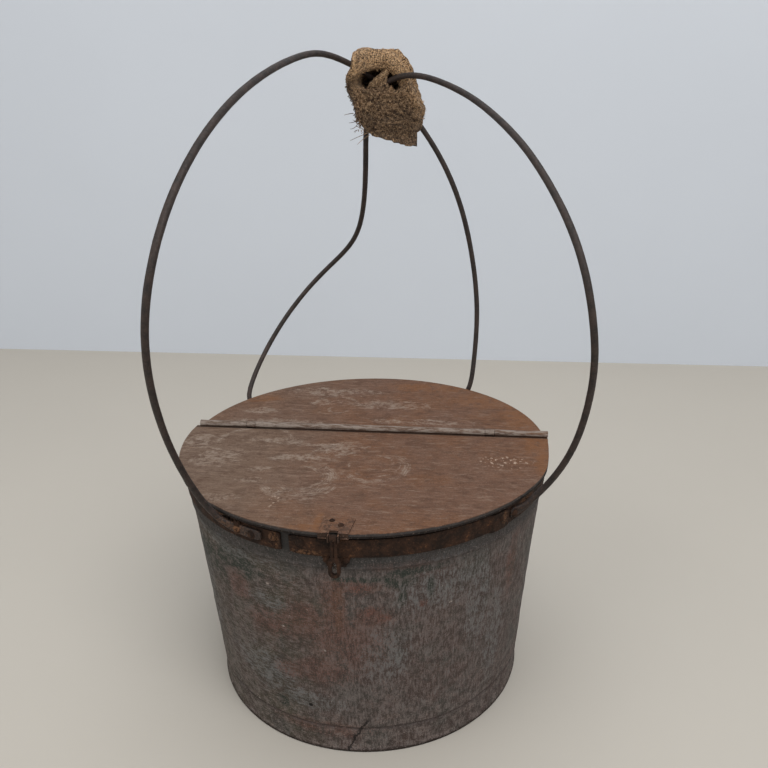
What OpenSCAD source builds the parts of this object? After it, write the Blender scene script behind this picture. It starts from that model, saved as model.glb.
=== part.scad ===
// Galvanised sheet-metal bucket, rusted: half-opening lid with a wire hinge and a hasp,
// a riveted steel band, and two crossed carrying rods tied with a burlap wrap.
// Millimetres, +Z up, origin on the bucket's axis at the floor, hasp at -Y, hinge along X.

/* [Bucket body] */
// Outer radius of the wall at the floor
base_r = 171; // [140:1:185]
// Outer radius of the wall at its top edge
mouth_r = 193.8; // [160:0.2:235]
// Height of the wall
body_h = 268.7; // [220:0.1:330]
// Thickness of the wall and floor sheet
sheet = 1.2; // [0.8:0.1:1.8]
// Height of the hem folded inwards at the top edge
top_hem_h = 6.2; // [4:0.1:7]
// Height of the hem folded inwards at the floor
foot_hem_h = 8; // [5:0.5:14]
// Height of the crimped groove that holds the floor plate
groove_z = 31; // [24:1:40]
// Depth of the crimped groove
groove_d = 1.5; // [1:0.1:2]
// Height of the floor plate's upturned flange
flange_h = 10; // [6:0.5:14]
// Distance from the top edge down to the swaged bead
swage_drop = 39.7; // [36:0.1:60]
// How far the swaged bead stands out
swage_d = 1.2; // [0.6:0.1:1.6]
// Diameter of the hole that rust has eaten through the wall
rust_hole_d = 3.2; // [1:0.1:6]

/* [Band] */
// Distance from the top edge down to the band's upper edge
band_drop = 7.7; // [7.5:0.1:12]
// Height of the band
band_h = 19; // [16:0.5:22]
// Thickness of the band strip
band_t = 2.2; // [1.5:0.1:3]

/* [Lid] */
// How far the lid stands out past the wall's top edge
lid_overhang = 6.2; // [5:0.1:9]
// Thickness of the lid sheet
lid_t = 1; // [0.8:0.1:1.4]
// Height of the lid's turned-down lip
lip_h = 5; // [3:0.1:5.2]
// Distance of the hinge behind the bucket's axis
hinge_y = 20; // [0:1:40]
// Diameter of the hinge wire
wire_d = 5; // [4:0.1:6]
// Distance of each hinge lug from the middle
lug_x = 135; // [90:1:150]
// Width of each hinge lug
lug_w = 10; // [8:0.5:14]

/* [Hasp] */
// Diameter of the hasp's hinge pin
pin_d = 3; // [2.5:0.1:4]
// Diameter of the hasp's wire
hasp_wire_d = 2.8; // [2.4:0.1:3.2]
// Width of the hasp's eye
eye_w = 11; // [10:0.1:14]
// Height of the hasp's eye
eye_h = 20.5; // [18:0.1:24]
// Width of the slot in the eye
slot_w = 4.5; // [4.4:0.1:5]
// Diameter of the staple's wire
staple_d = 2.6; // [2.2:0.1:3]

/* [Handle rods] */
// Diameter of the carrying rods
rod_d = 6; // [5:0.1:7]
// Thickness of the rods' flattened feet
foot_t = 3; // [2:0.1:4]
// Height of the rods' flattened feet
foot_h = 10; // [8:0.5:14]

/* [Rivets] */
// Diameter of the band and foot rivets
rivet_d = 4; // [3:0.1:5]
// Diameter of the small rivets on the hasp plate and the staple plate
small_rivet_d = 3; // [2:0.1:4]

/* [Burlap] */
// Length of the wrap along X
wrap_x = 77; // [60:1:95]
// Depth of the wrap along Y
wrap_y = 45; // [38:1:60]
// Height of the wrap
wrap_z = 97; // [80:1:120]

/* [Hidden] */
$fn = 120;

// Clearances
seat_gap = 0.2;      // between sheet parts that lie on each other
fit_gap = 0.3;       // floor plate in the wall, lid over the rim, wrap around the rods
hole_gap = 0.2;      // rivet and staple holes over their shanks
turn_gap = 0.5;      // across the diameter of what turns on the hinge wire or pin

// Wall: radius at a height, and the tilt of its surface from the vertical
function wall_r(z) = base_r + (mouth_r - base_r) * z / body_h;
wall_tilt = atan((mouth_r - base_r) / body_h);
swage_z = body_h - swage_drop;
bead_half = 2.5;     // half height of the groove and of the swage
floor_z = groove_z + bead_half + fit_gap;

// Band: offsets from the wall's outer surface
band_top = body_h - band_drop;
band_bottom = band_top - band_h;
band_in = seat_gap;
band_out = band_in + band_t;
lap_in = band_out + seat_gap;
foot_in = band_out + seat_gap;
foot_out = foot_in + foot_t;
foot_z = band_bottom + 13;

// Azimuths of what lies on the band, in degrees counter-clockwise from +X
strap_gap_rear = 254.8;
strap_gap_front = -102.6;
joggle = -46;
lap_end = -39.5;
rear_start = -45;
front_strap_rivet = -99.5;
rear_strap_rivet = -107.4;
lap_rivet = -42.3;

// Feet of each rod: azimuth range, then the azimuths of its rivets
left_rod_feet = [[-128.5, -110.5, [-118.6, -113.6]], [51.5, 70, [62.4, 67.4]]];
right_rod_feet = [[-39, -26.6, [-37.4, -28.8]], [128.6, 146.5, [131.2, 135.8]]];

// Lid and hinge
flap_r = mouth_r + lid_overhang;
lid_z = body_h + fit_gap;
lid_top = lid_z + lid_t;
bead_ri = wire_d / 2 + 0.3;
bead_ro = bead_ri + lid_t;
hinge_z = lid_z + bead_ro;
lug_ri = wire_d / 2 + 0.15;
lug_ro = lug_ri + lid_t;
lug_gap = 0.5;       // between a lug and the slot in the lid around it
bead_left = 4.4;     // the curled bead stops this far short of the lid's left corner
bead_right = 1.2;    // and this far short of the right one
wire_short = 13;
back_gap = 0.4;
back_r = mouth_r + seat_gap + lid_t;
flap_corner = sqrt(flap_r * flap_r - hinge_y * hinge_y);

// Hasp: the pin lies in front of the lip, level with the notch
pin_y = -flap_r - 2.5;
pin_z = lid_top - 3.5;
knuckle_r = pin_d / 2 + 1.8;
knuckle_half = hasp_wire_d + 0.3;
notch_half = knuckle_half + 0.8;
ear_t = 1.2;
pin_half = notch_half + ear_t + 0.7;
leg_x = hasp_wire_d / 2 + 0.2;
eye_t = 3;
slot_h = 12.5;
staple_z = band_bottom - 5.3;
staple_half = 3.5;   // half the distance between the staple's legs
eye_low = staple_z - 9.5;
tip_gap = 0.4;       // between the hanging hasp and the staple's tip
staple_tip = -pin_y - eye_t / 2 - tip_gap;
staple_inside = 3.8; // how far inside the wall the staple's ends are bent
plate_back = 24;
plate_fold = 1.4;
plate_tab = 5;
staple_plate_t = 1.5;
staple_plate_top = band_bottom - 0.5;
staple_plate_low = staple_z - 5;

// Handle routes: azimuth, distance out from a rod lying on the band, height above foot_z
seat_r = wall_r(foot_z) + foot_in + rod_d / 2 + 0.8;
left_route = [
    [-118, 0, 0], [-127, 3, 2], [-123, 47, 81], [-116, 88, 176], [-111, 99, 253],
    [-113, 46, 319], [-114, -20, 367], [-125, -96, 390], [-155, -139, 400], [148, -151, 410],
    [103, -114, 400], [85, -69, 379], [72, -41, 339], [61, -15, 272], [59, 14, 191],
    [57, 21, 114], [57, 13, 50], [56, 1, 2], [64, 0, 0]
];
right_route = [
    [-39, 0, 0], [-31, 3, 2], [-33, 47, 63], [-35, 64, 138], [-41, 78, 190],
    [-41, 60, 258], [-37, 7, 311], [-30, -32, 335], [-11, -81, 360], [30, -99, 376],
    [70, -93, 395], [95, -84, 371], [95, -68, 304], [97, -30, 236], [101, 16, 189],
    [112, 47, 149], [127, 47, 82], [141, 34, 6], [145, 1, 1], [137, 0, 0]
];
wrap_at = [86, -78, 367];
rod_sides = 14;
rings_per_step = 4;

function place(p) =
    let (r = seat_r + p[1])
    [r * cos(p[0]), r * sin(p[0]), foot_z + p[2]];

// Uniform cubic B-spline through the first and the last of the points
function spline(pts) =
    let (
        n = len(pts),
        ends = concat([2 * pts[0] - pts[1]], pts, [2 * pts[n - 1] - pts[n - 2]]),
        first = ceil(rings_per_step / 2),
        last = (n - 1) * rings_per_step - first
    )
    [for (k = [first : last])
        let (i = min(floor(k / rings_per_step), n - 2), t = k / rings_per_step - i)
        ((1 - t) ^ 3 * ends[i] + (3 * t ^ 3 - 6 * t ^ 2 + 4) * ends[i + 1]
            + (1 + 3 * t + 3 * t ^ 2 - 3 * t ^ 3) * ends[i + 2] + t ^ 3 * ends[i + 3]) / 6];

function unit(v) = v / norm(v);
function heading(path, i) = unit(path[min(i + 1, len(path) - 1)] - path[max(i - 1, 0)]);

// Side vectors carried along the path without twist
function sides(path, i = 0, last = [0.2, 0.3, 1]) =
    i == len(path) ? [] :
    let (h = heading(path, i), s = unit(last - (last * h) * h))
    concat([s], sides(path, i + 1, s));

module sweep(path, r) {
    n = len(path);
    m = rod_sides;
    s = sides(path);
    points = [for (i = [0 : n - 1])
        let (a = s[i], b = cross(heading(path, i), a))
        for (k = [0 : m - 1])
        path[i] + r * (cos(360 * k / m) * a + sin(360 * k / m) * b)];
    skin = [for (i = [0 : n - 2], k = [0 : m - 1], half = [0, 1])
        let (a = i * m + k, b = i * m + (k + 1) % m)
        half == 0 ? [a, b, b + m] : [a, b + m, a + m]];
    caps = [[for (k = [0 : m - 1]) m - 1 - k], [for (k = [0 : m - 1]) (n - 1) * m + k]];
    // OpenSCAD wants faces clockwise when seen from outside
    polyhedron(points, [for (f = concat(skin, caps)) [for (k = [len(f) - 1 : -1 : 0]) f[k]]]);
}

// A strip of the wall's cone: azimuths, offsets from the wall, heights
module wall_strip(az0, az1, off0, off1, z0, z1) {
    rotate([0, 0, az0])
        rotate_extrude(angle = az1 - az0)
            polygon([
                [wall_r(z0) + off0, z0], [wall_r(z0) + off1, z0],
                [wall_r(z1) + off1, z1], [wall_r(z1) + off0, z1]
            ]);
}

// Puts its children on the wall's outer surface with +Z along the outward normal
module on_wall(az, z) {
    rotate([0, 0, az])
        translate([wall_r(z), 0, z])
            rotate([0, 90 + wall_tilt, 0])
                children();
}

// A rivet through everything from inside the wall to an offset outside it
module rivet(off, d) {
    head_r = d * 1.12;
    head_h = d * 0.6;
    ball_r = (head_r ^ 2 + head_h ^ 2) / (2 * head_h);
    under = off + 0.15;
    inside = -sheet - 0.25;
    translate([0, 0, inside - d / 4])
        cylinder(d = d, h = under - inside + d / 4 + 0.2);
    translate([0, 0, inside - d / 3])
        cylinder(d = d * 1.8, h = d / 3);
    intersection() {
        translate([0, 0, under + head_h - ball_r])
            sphere(r = ball_r);
        translate([0, 0, under])
            cylinder(r = head_r + 1, h = head_h + 1);
    }
}

module rivet_hole(d) {
    translate([0, 0, -10])
        cylinder(d = d + hole_gap, h = 30);
}

module strap_rivet_holes() {
    for (az = [front_strap_rivet, rear_strap_rivet, lap_rivet])
        on_wall(az, foot_z) rivet_hole(rivet_d);
}

module foot_rivet_holes(feet) {
    for (foot = feet, az = foot[2])
        on_wall(az, foot_z - 1.5) rivet_hole(rivet_d);
}

module staple_plate_rivet_holes() {
    for (x = [-1, 1])
        on_wall(-90 + x * 2.6, staple_plate_top - 3.2) rivet_hole(small_rivet_d);
}

module staple_leg_holes() {
    for (side = [-1, 1])
        translate([0, -wall_r(staple_z) + 10, staple_z + side * staple_half])
            rotate([90, 0, 0])
                cylinder(d = staple_d + hole_gap, h = 20);
}

// Heights and offsets of a pressed bead around the wall
function bead(z, d) = [for (k = [-3 : 3]) [z + bead_half * k / 3, d * cos(30 * k)]];
wall_line = concat(bead(groove_z, -groove_d), bead(swage_z, swage_d));

module bucket_wall() {
    hem = 2 * sheet;
    hem_z = body_h - top_hem_h;
    color("slategray")
    difference() {
        rotate_extrude()
            polygon(concat(
                [[base_r, 0]],
                [for (p = wall_line) [wall_r(p[0]) + p[1], p[0]]],
                [[mouth_r, body_h], [mouth_r - hem, body_h]],
                [[wall_r(hem_z) - hem, hem_z], [wall_r(hem_z) - sheet, hem_z]],
                [for (i = [len(wall_line) - 1 : -1 : 0])
                    [wall_r(wall_line[i][0]) + wall_line[i][1] - sheet, wall_line[i][0]]],
                [[wall_r(foot_hem_h) - sheet, foot_hem_h]],
                [[wall_r(foot_hem_h) - hem, foot_hem_h], [base_r - hem, 0]]
            ));
        strap_rivet_holes();
        foot_rivet_holes(left_rod_feet);
        foot_rivet_holes(right_rod_feet);
        staple_plate_rivet_holes();
        staple_leg_holes();
        on_wall(-102, groove_z + 24) rivet_hole(rust_hole_d - hole_gap);
    }
}

module bottom_plate() {
    flange_top = floor_z + flange_h;
    r0 = wall_r(floor_z) - sheet - fit_gap;
    r1 = wall_r(flange_top) - sheet - fit_gap;
    color("dimgray")
    rotate_extrude()
        polygon([
            [0, floor_z], [r0, floor_z], [r1, flange_top],
            [r1 - sheet, flange_top], [r0 - sheet, floor_z + sheet], [0, floor_z + sheet]
        ]);
}

module front_strap() {
    color("saddlebrown")
    difference() {
        union() {
            wall_strip(strap_gap_front, joggle, band_in, band_out, band_bottom, band_top);
            wall_strip(joggle - 0.7, joggle, band_in, lap_in + band_t, band_bottom, band_top);
            wall_strip(joggle - 0.7, lap_end, lap_in, lap_in + band_t, band_bottom, band_top);
        }
        strap_rivet_holes();
    }
}

module rear_strap() {
    color("sienna")
    difference() {
        wall_strip(rear_start, strap_gap_rear, band_in, band_out, band_bottom, band_top);
        strap_rivet_holes();
        foot_rivet_holes(left_rod_feet);
        foot_rivet_holes(right_rod_feet);
    }
}

module strap_rivets() {
    color("peru") {
        on_wall(front_strap_rivet, foot_z) rivet(band_out, rivet_d);
        on_wall(rear_strap_rivet, foot_z) rivet(band_out, rivet_d);
        on_wall(lap_rivet, foot_z) rivet(lap_in + band_t, rivet_d);
    }
}

// Keeps what lies in front of (side -1) or behind (side 1) a plane across Y
module half(side, y) {
    size = 2 * flap_r + 20;
    intersection() {
        children();
        translate([-size / 2, side < 0 ? y - size : y, 0])
            cube([size, size, body_h + 40]);
    }
}

// A sheet curled about the X axis, open over one range of angles from +Y towards +Z
module curl(x0, x1, ri, ro, open0, open1) {
    reach = 2 * ro;
    translate([x0, hinge_y, hinge_z])
        rotate([90, 0, 90])
            difference() {
                cylinder(r = ro, h = x1 - x0, $fn = 48);
                translate([0, 0, -1])
                    cylinder(r = ri, h = x1 - x0 + 2, $fn = 48);
                translate([0, 0, -1])
                    linear_extrude(x1 - x0 + 2)
                        polygon([[0, 0], reach * [cos(open0), sin(open0)],
                            reach * 1.3 * [cos((open0 + open1) / 2), sin((open0 + open1) / 2)],
                            reach * [cos(open1), sin(open1)]]);
            }
}

module lid_flap() {
    notch = lug_w + 2 * lug_gap;
    color("rosybrown")
    difference() {
        union() {
            half(-1, hinge_y) {
                union() {
                    translate([0, 0, lid_z])
                        cylinder(r = flap_r - 0.4, h = lid_t);
                    rotate_extrude()
                        polygon([
                            [flap_r - sheet, lid_top - lip_h], [flap_r, lid_top - lip_h],
                            [flap_r, lid_top], [flap_r - sheet, lid_top]
                        ]);
                }
            }
            curl(bead_left - flap_corner, flap_corner - bead_right, bead_ri, bead_ro, 205, 268);
        }
        for (side = [-1, 1])
            translate([side * lug_x - notch / 2, hinge_y - lug_ro - lug_gap, lid_z - 1])
                cube([notch, 20, 12]);
        translate([-notch_half, -flap_r - 1, lid_top - lip_h - 1])
            cube([2 * notch_half, 3.8, lip_h + 2]);
        hasp_rivet_holes();
    }
}

module back_plate() {
    edge = hinge_y + bead_ro + back_gap;
    color("tan")
    union() {
        half(1, edge) {
            union() {
                translate([0, 0, body_h])
                    cylinder(r = back_r, h = lid_t);
                rotate_extrude()
                    polygon([
                        [back_r - lid_t, body_h - lip_h], [back_r, body_h - lip_h],
                        [back_r, body_h + lid_t / 2], [back_r - lid_t, body_h + lid_t / 2]
                    ]);
            }
        }
        for (side = [-1, 1]) {
            curl(side * lug_x - lug_w / 2, side * lug_x + lug_w / 2, lug_ri, lug_ro, 272, 340);
            translate([side * lug_x - lug_w / 2, hinge_y, hinge_z - lug_ro])
                cube([lug_w, 18, lug_ro - lug_ri]);
        }
    }
}

module hinge_wire() {
    reach = flap_corner - wire_short;
    color("dimgray")
    translate([-reach, hinge_y, hinge_z])
        rotate([0, 90, 0])
            cylinder(d = wire_d, h = 2 * reach);
}

hasp_rivet_spots = [[-4.7, 19.5], [4.5, 12.5]];

module hasp_rivet_holes() {
    for (spot = hasp_rivet_spots)
        translate([spot[0], spot[1] - flap_r, lid_z - 5])
            cylinder(d = small_rivet_d + hole_gap, h = 12);
}

module hasp_plate() {
    front = -flap_r - plate_fold;
    color("chocolate")
    difference() {
        union() {
            translate([0, 0, lid_top])
                linear_extrude(1)
                    polygon([[-13, plate_back - flap_r], [15.5, plate_back - flap_r],
                        [13, front], [-14, front]]);
            translate([-14, front, lid_top - plate_tab])
                cube([27, 1, plate_tab + 1]);
            for (side = [-1, 1])
                translate([side < 0 ? -notch_half - ear_t : notch_half, pin_y - 2.5, pin_z - 3])
                    cube([ear_t, front + 1 - pin_y + 2.5, 6.5]);
        }
        translate([-notch_half, front - 1, lid_top - plate_tab - 1])
            cube([2 * notch_half, 5.2, plate_tab + 3]);
        translate([-20, pin_y, pin_z])
            rotate([0, 90, 0])
                cylinder(d = pin_d + 0.1, h = 40);
        hasp_rivet_holes();
    }
}

module hasp_rivets() {
    color("peru")
    for (spot = hasp_rivet_spots)
        translate([spot[0], spot[1] - flap_r, 0]) {
            translate([0, 0, lid_z - 1.4])
                cylinder(d = small_rivet_d, h = lid_t + 3);
            translate([0, 0, lid_z - 1.4])
                cylinder(d = small_rivet_d * 1.7, h = 1.2);
            intersection() {
                translate([0, 0, lid_top + 1.1 + 1.7 - 3])
                    sphere(r = 3);
                translate([0, 0, lid_top + 1.1])
                    cylinder(r = 4, h = 3);
            }
        }
}

module hasp_pin() {
    color("dimgray")
    translate([-pin_half, pin_y, pin_z])
        rotate([0, 90, 0])
            cylinder(d = pin_d, h = 2 * pin_half);
}

module hasp_loop() {
    eye_top = eye_low + eye_h;
    slot_mid = staple_z;
    color("darkslategray")
    difference() {
        union() {
            translate([-knuckle_half, pin_y, pin_z])
                rotate([0, 90, 0])
                    cylinder(r = knuckle_r, h = 2 * knuckle_half);
            for (side = [-1, 1])
                translate([side * leg_x, pin_y, eye_top - 3])
                    cylinder(d = hasp_wire_d, h = pin_z - knuckle_r + 4.2 - eye_top);
            translate([0, pin_y + eye_t / 2, 0])
                rotate([90, 0, 0])
                    linear_extrude(eye_t) {
                        translate([0, eye_low + eye_w / 2])
                            circle(d = eye_w);
                        translate([0, eye_top - eye_w / 2])
                            circle(d = eye_w);
                        translate([-eye_w / 2, eye_low + eye_w / 2])
                            square([eye_w, eye_h - eye_w]);
                    }
        }
        translate([-10, pin_y, pin_z])
            rotate([0, 90, 0])
                cylinder(d = pin_d + turn_gap, h = 20);
        translate([0, pin_y + 5, 0])
            rotate([90, 0, 0])
                linear_extrude(10) {
                    for (side = [-1, 1])
                        translate([0, slot_mid + side * (slot_h - slot_w) / 2])
                            circle(d = slot_w);
                    translate([-slot_w / 2, slot_mid - (slot_h - slot_w) / 2])
                        square([slot_w, slot_h - slot_w]);
                }
    }
}

module staple_plate() {
    low_half = 8;
    top_half = 13.5;
    color("saddlebrown")
    difference() {
        intersection() {
            wall_strip(-96, -84, seat_gap, seat_gap + staple_plate_t,
                staple_plate_low, staple_plate_top);
            translate([0, -wall_r(staple_z) + 15, 0])
                rotate([90, 0, 0])
                    linear_extrude(30)
                        polygon([[-low_half, staple_plate_low - 1], [low_half, staple_plate_low - 1],
                            [top_half, staple_plate_top + 1], [-top_half, staple_plate_top + 1]]);
        }
        staple_plate_rivet_holes();
        staple_leg_holes();
    }
}

module staple_plate_rivets() {
    color("peru")
    for (x = [-1, 1])
        on_wall(-90 + x * 2.6, staple_plate_top - 3.2)
            rivet(seat_gap + staple_plate_t, small_rivet_d);
}

module staple() {
    bend_y = -staple_tip + staple_half + staple_d / 2;
    inside_y = -wall_r(staple_z) + staple_inside;
    thinned = staple_d - 0.3;
    color("silver")
    union() {
        for (side = [-1, 1])
            translate([0, inside_y + staple_d / 2, staple_z + side * staple_half]) {
                rotate([90, 0, 0])
                    cylinder(d = staple_d, h = inside_y + staple_d / 2 - bend_y + 0.3);
                translate([0, -staple_d / 2, 0])
                    rotate([side < 0 ? 180 : 0, 0, 0])
                        cylinder(d = thinned, h = 4.5);
            }
        translate([0, bend_y, staple_z])
            rotate([0, 90, 0])
                rotate([0, 0, 180])
                    rotate_extrude(angle = 180)
                        translate([staple_half, 0])
                            circle(d = thinned, $fn = 32);
    }
}

module handle_rod(route, feet) {
    difference() {
        union() {
            sweep(spline([for (p = route) place(p)]), rod_d / 2);
            for (foot = feet)
                wall_strip(foot[0], foot[1], foot_in, foot_out,
                    foot_z - foot_h / 2 - 1, foot_z + foot_h / 2 - 1);
        }
        foot_rivet_holes(feet);
    }
}

module handle_rod_left() {
    color([0.2, 0.16, 0.14])
        handle_rod(left_route, left_rod_feet);
}

module handle_rod_right() {
    color([0.26, 0.2, 0.17])
        handle_rod(right_route, right_rod_feet);
}

module foot_rivets(feet) {
    color("peru")
    for (foot = feet, az = foot[2])
        on_wall(az, foot_z - 1.5) rivet(foot_out, rivet_d);
}

module left_foot_rivets() {
    foot_rivets(left_rod_feet);
}

module right_foot_rivets() {
    foot_rivets(right_rod_feet);
}

// The knotted burlap as one soft closed solid around the crossing rods
module burlap_wrap() {
    color("burlywood")
    difference() {
        translate(place(wrap_at))
            scale([wrap_x / 100, wrap_y / 100, wrap_z / 100])
                hull() {
                    for (x = [-1, 1], y = [-1, 1], z = [-1, 1])
                        translate([x * 24, y * 22, z * 24])
                            sphere(r = 26, $fn = 24);
                }
        for (route = [left_route, right_route])
            sweep(spline([for (p = route) place(p)]), rod_d / 2 + fit_gap);
    }
}

bucket_wall();
bottom_plate();
front_strap();
rear_strap();
strap_rivets();
lid_flap();
back_plate();
hinge_wire();
hasp_plate();
hasp_rivets();
hasp_pin();
hasp_loop();
staple_plate();
staple_plate_rivets();
staple();
handle_rod_left();
handle_rod_right();
left_foot_rivets();
right_foot_rivets();
burlap_wrap();
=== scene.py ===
"""Looks of a rusted sheet-metal bucket: dented wall, riveted band, worn lid, bent rods, burlap wrap.

Metres, +Z up, hasp at -Y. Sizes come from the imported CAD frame; each piece has its own function.
"""
import math
import random

import bmesh
import bpy
from mathutils import Matrix, Vector, noise


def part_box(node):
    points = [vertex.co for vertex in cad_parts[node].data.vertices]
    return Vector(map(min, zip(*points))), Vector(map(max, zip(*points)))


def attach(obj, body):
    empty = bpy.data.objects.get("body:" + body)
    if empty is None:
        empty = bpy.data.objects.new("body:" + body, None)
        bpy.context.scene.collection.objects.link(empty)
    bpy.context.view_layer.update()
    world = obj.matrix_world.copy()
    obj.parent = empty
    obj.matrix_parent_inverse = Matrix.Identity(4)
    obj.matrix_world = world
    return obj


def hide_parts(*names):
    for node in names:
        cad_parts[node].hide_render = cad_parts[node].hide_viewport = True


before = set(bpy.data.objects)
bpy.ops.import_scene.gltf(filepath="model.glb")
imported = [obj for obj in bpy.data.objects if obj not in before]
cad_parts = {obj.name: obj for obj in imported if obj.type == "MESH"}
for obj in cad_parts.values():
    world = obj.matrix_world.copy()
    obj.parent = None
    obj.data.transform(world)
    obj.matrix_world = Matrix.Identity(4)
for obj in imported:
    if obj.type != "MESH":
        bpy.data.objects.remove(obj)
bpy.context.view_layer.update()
MM = 0.001

# ---- sizes taken from the frame -------------------------------------------------------
wall_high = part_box("bucket_wall")[1]
BODY_H = wall_high.z
MOUTH_R = wall_high.x
BASE_R = 0.171
SHEET = 1.2 * MM
band_low, band_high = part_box("rear_strap")
BAND_BOTTOM, BAND_TOP = band_low.z, band_high.z
FLAP_R = -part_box("lid_flap")[0].y
wire_low, wire_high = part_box("hinge_wire")
HINGE_Y = (wire_low.y + wire_high.y) / 2
LID_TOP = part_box("hasp_plate")[1].z - 1 * MM
SWAGE_Z = BODY_H - 39.7 * MM
GROOVE_Z = 31 * MM
BAND_T = 2.2 * MM
ROD_R = 3 * MM
FOOT_Z = BAND_BOTTOM + 13 * MM
SEAT_GAP = 0.2 * MM
wrap_low, wrap_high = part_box("burlap_wrap")
WRAP = (wrap_low + wrap_high) / 2
# the same places in millimetres
GROOVE_MM, SWAGE_MM, BAND_MM = GROOVE_Z * 1000, SWAGE_Z * 1000, BAND_BOTTOM * 1000
LID_MM, FLAP_MM, FOOT_MM = LID_TOP * 1000, FLAP_R * 1000, FOOT_Z * 1000
WRAP_X, WRAP_Z = WRAP.x * 1000, WRAP.z * 1000


def wall_r(z):
    """The wall's outer radius at a height."""
    return BASE_R + (MOUTH_R - BASE_R) * z / BODY_H


def smooth(x, low, high):
    """0 below low, 1 above high, eased in between; low may be the larger."""
    t = min(1.0, max(0.0, (x - low) / (high - low)))
    return t * t * (3 - 2 * t)


def around(f, r, z):
    """A point at f degrees from the front, counted towards +X."""
    a = math.radians(f)
    return Vector((r * math.sin(a), -r * math.cos(a), z))


def fractal(p, scale, depth=3):
    return noise.fractal(p * scale, 1.0, 2.0, depth)


# ---- mesh helpers ---------------------------------------------------------------------
def new_piece(name, points, faces, smooth_angle=40.0):
    mesh = bpy.data.meshes.new(name)
    mesh.from_pydata([tuple(p) for p in points], [], faces)
    mesh.validate()
    mesh.polygons.foreach_set("use_smooth", [True] * len(mesh.polygons))
    mesh.set_sharp_from_angle(angle=math.radians(smooth_angle))
    piece = bpy.data.objects.new(name, mesh)
    bpy.context.scene.collection.objects.link(piece)
    return piece


def loft_faces(rings, ring_size, closed_path=False, caps=True, start=0):
    """Quads between neighbouring rings of points, and flat caps on an open path."""
    faces = []
    for i in range(rings if closed_path else rings - 1):
        a, b = start + i * ring_size, start + ((i + 1) % rings) * ring_size
        faces += [(a + k, a + (k + 1) % ring_size, b + (k + 1) % ring_size, b + k)
                  for k in range(ring_size)]
    if caps and not closed_path:
        faces.append(tuple(start + k for k in reversed(range(ring_size))))
        faces.append(tuple(start + (rings - 1) * ring_size + k for k in range(ring_size)))
    return faces


def loft(name, rings, closed_path=False, smooth_angle=40.0):
    points = [p for ring in rings for p in ring]
    return new_piece(name, points, loft_faces(len(rings), len(rings[0]), closed_path), smooth_angle)


def place(piece, body, slot, material, *nodes):
    """Gives a piece its material and its body, and hides the CAD nodes that it stands for; the slot is not
    used.
    """
    piece.data.materials.clear()
    piece.data.materials.append(material)
    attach(piece, body)
    if nodes:
        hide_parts(*nodes)
    return piece


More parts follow.
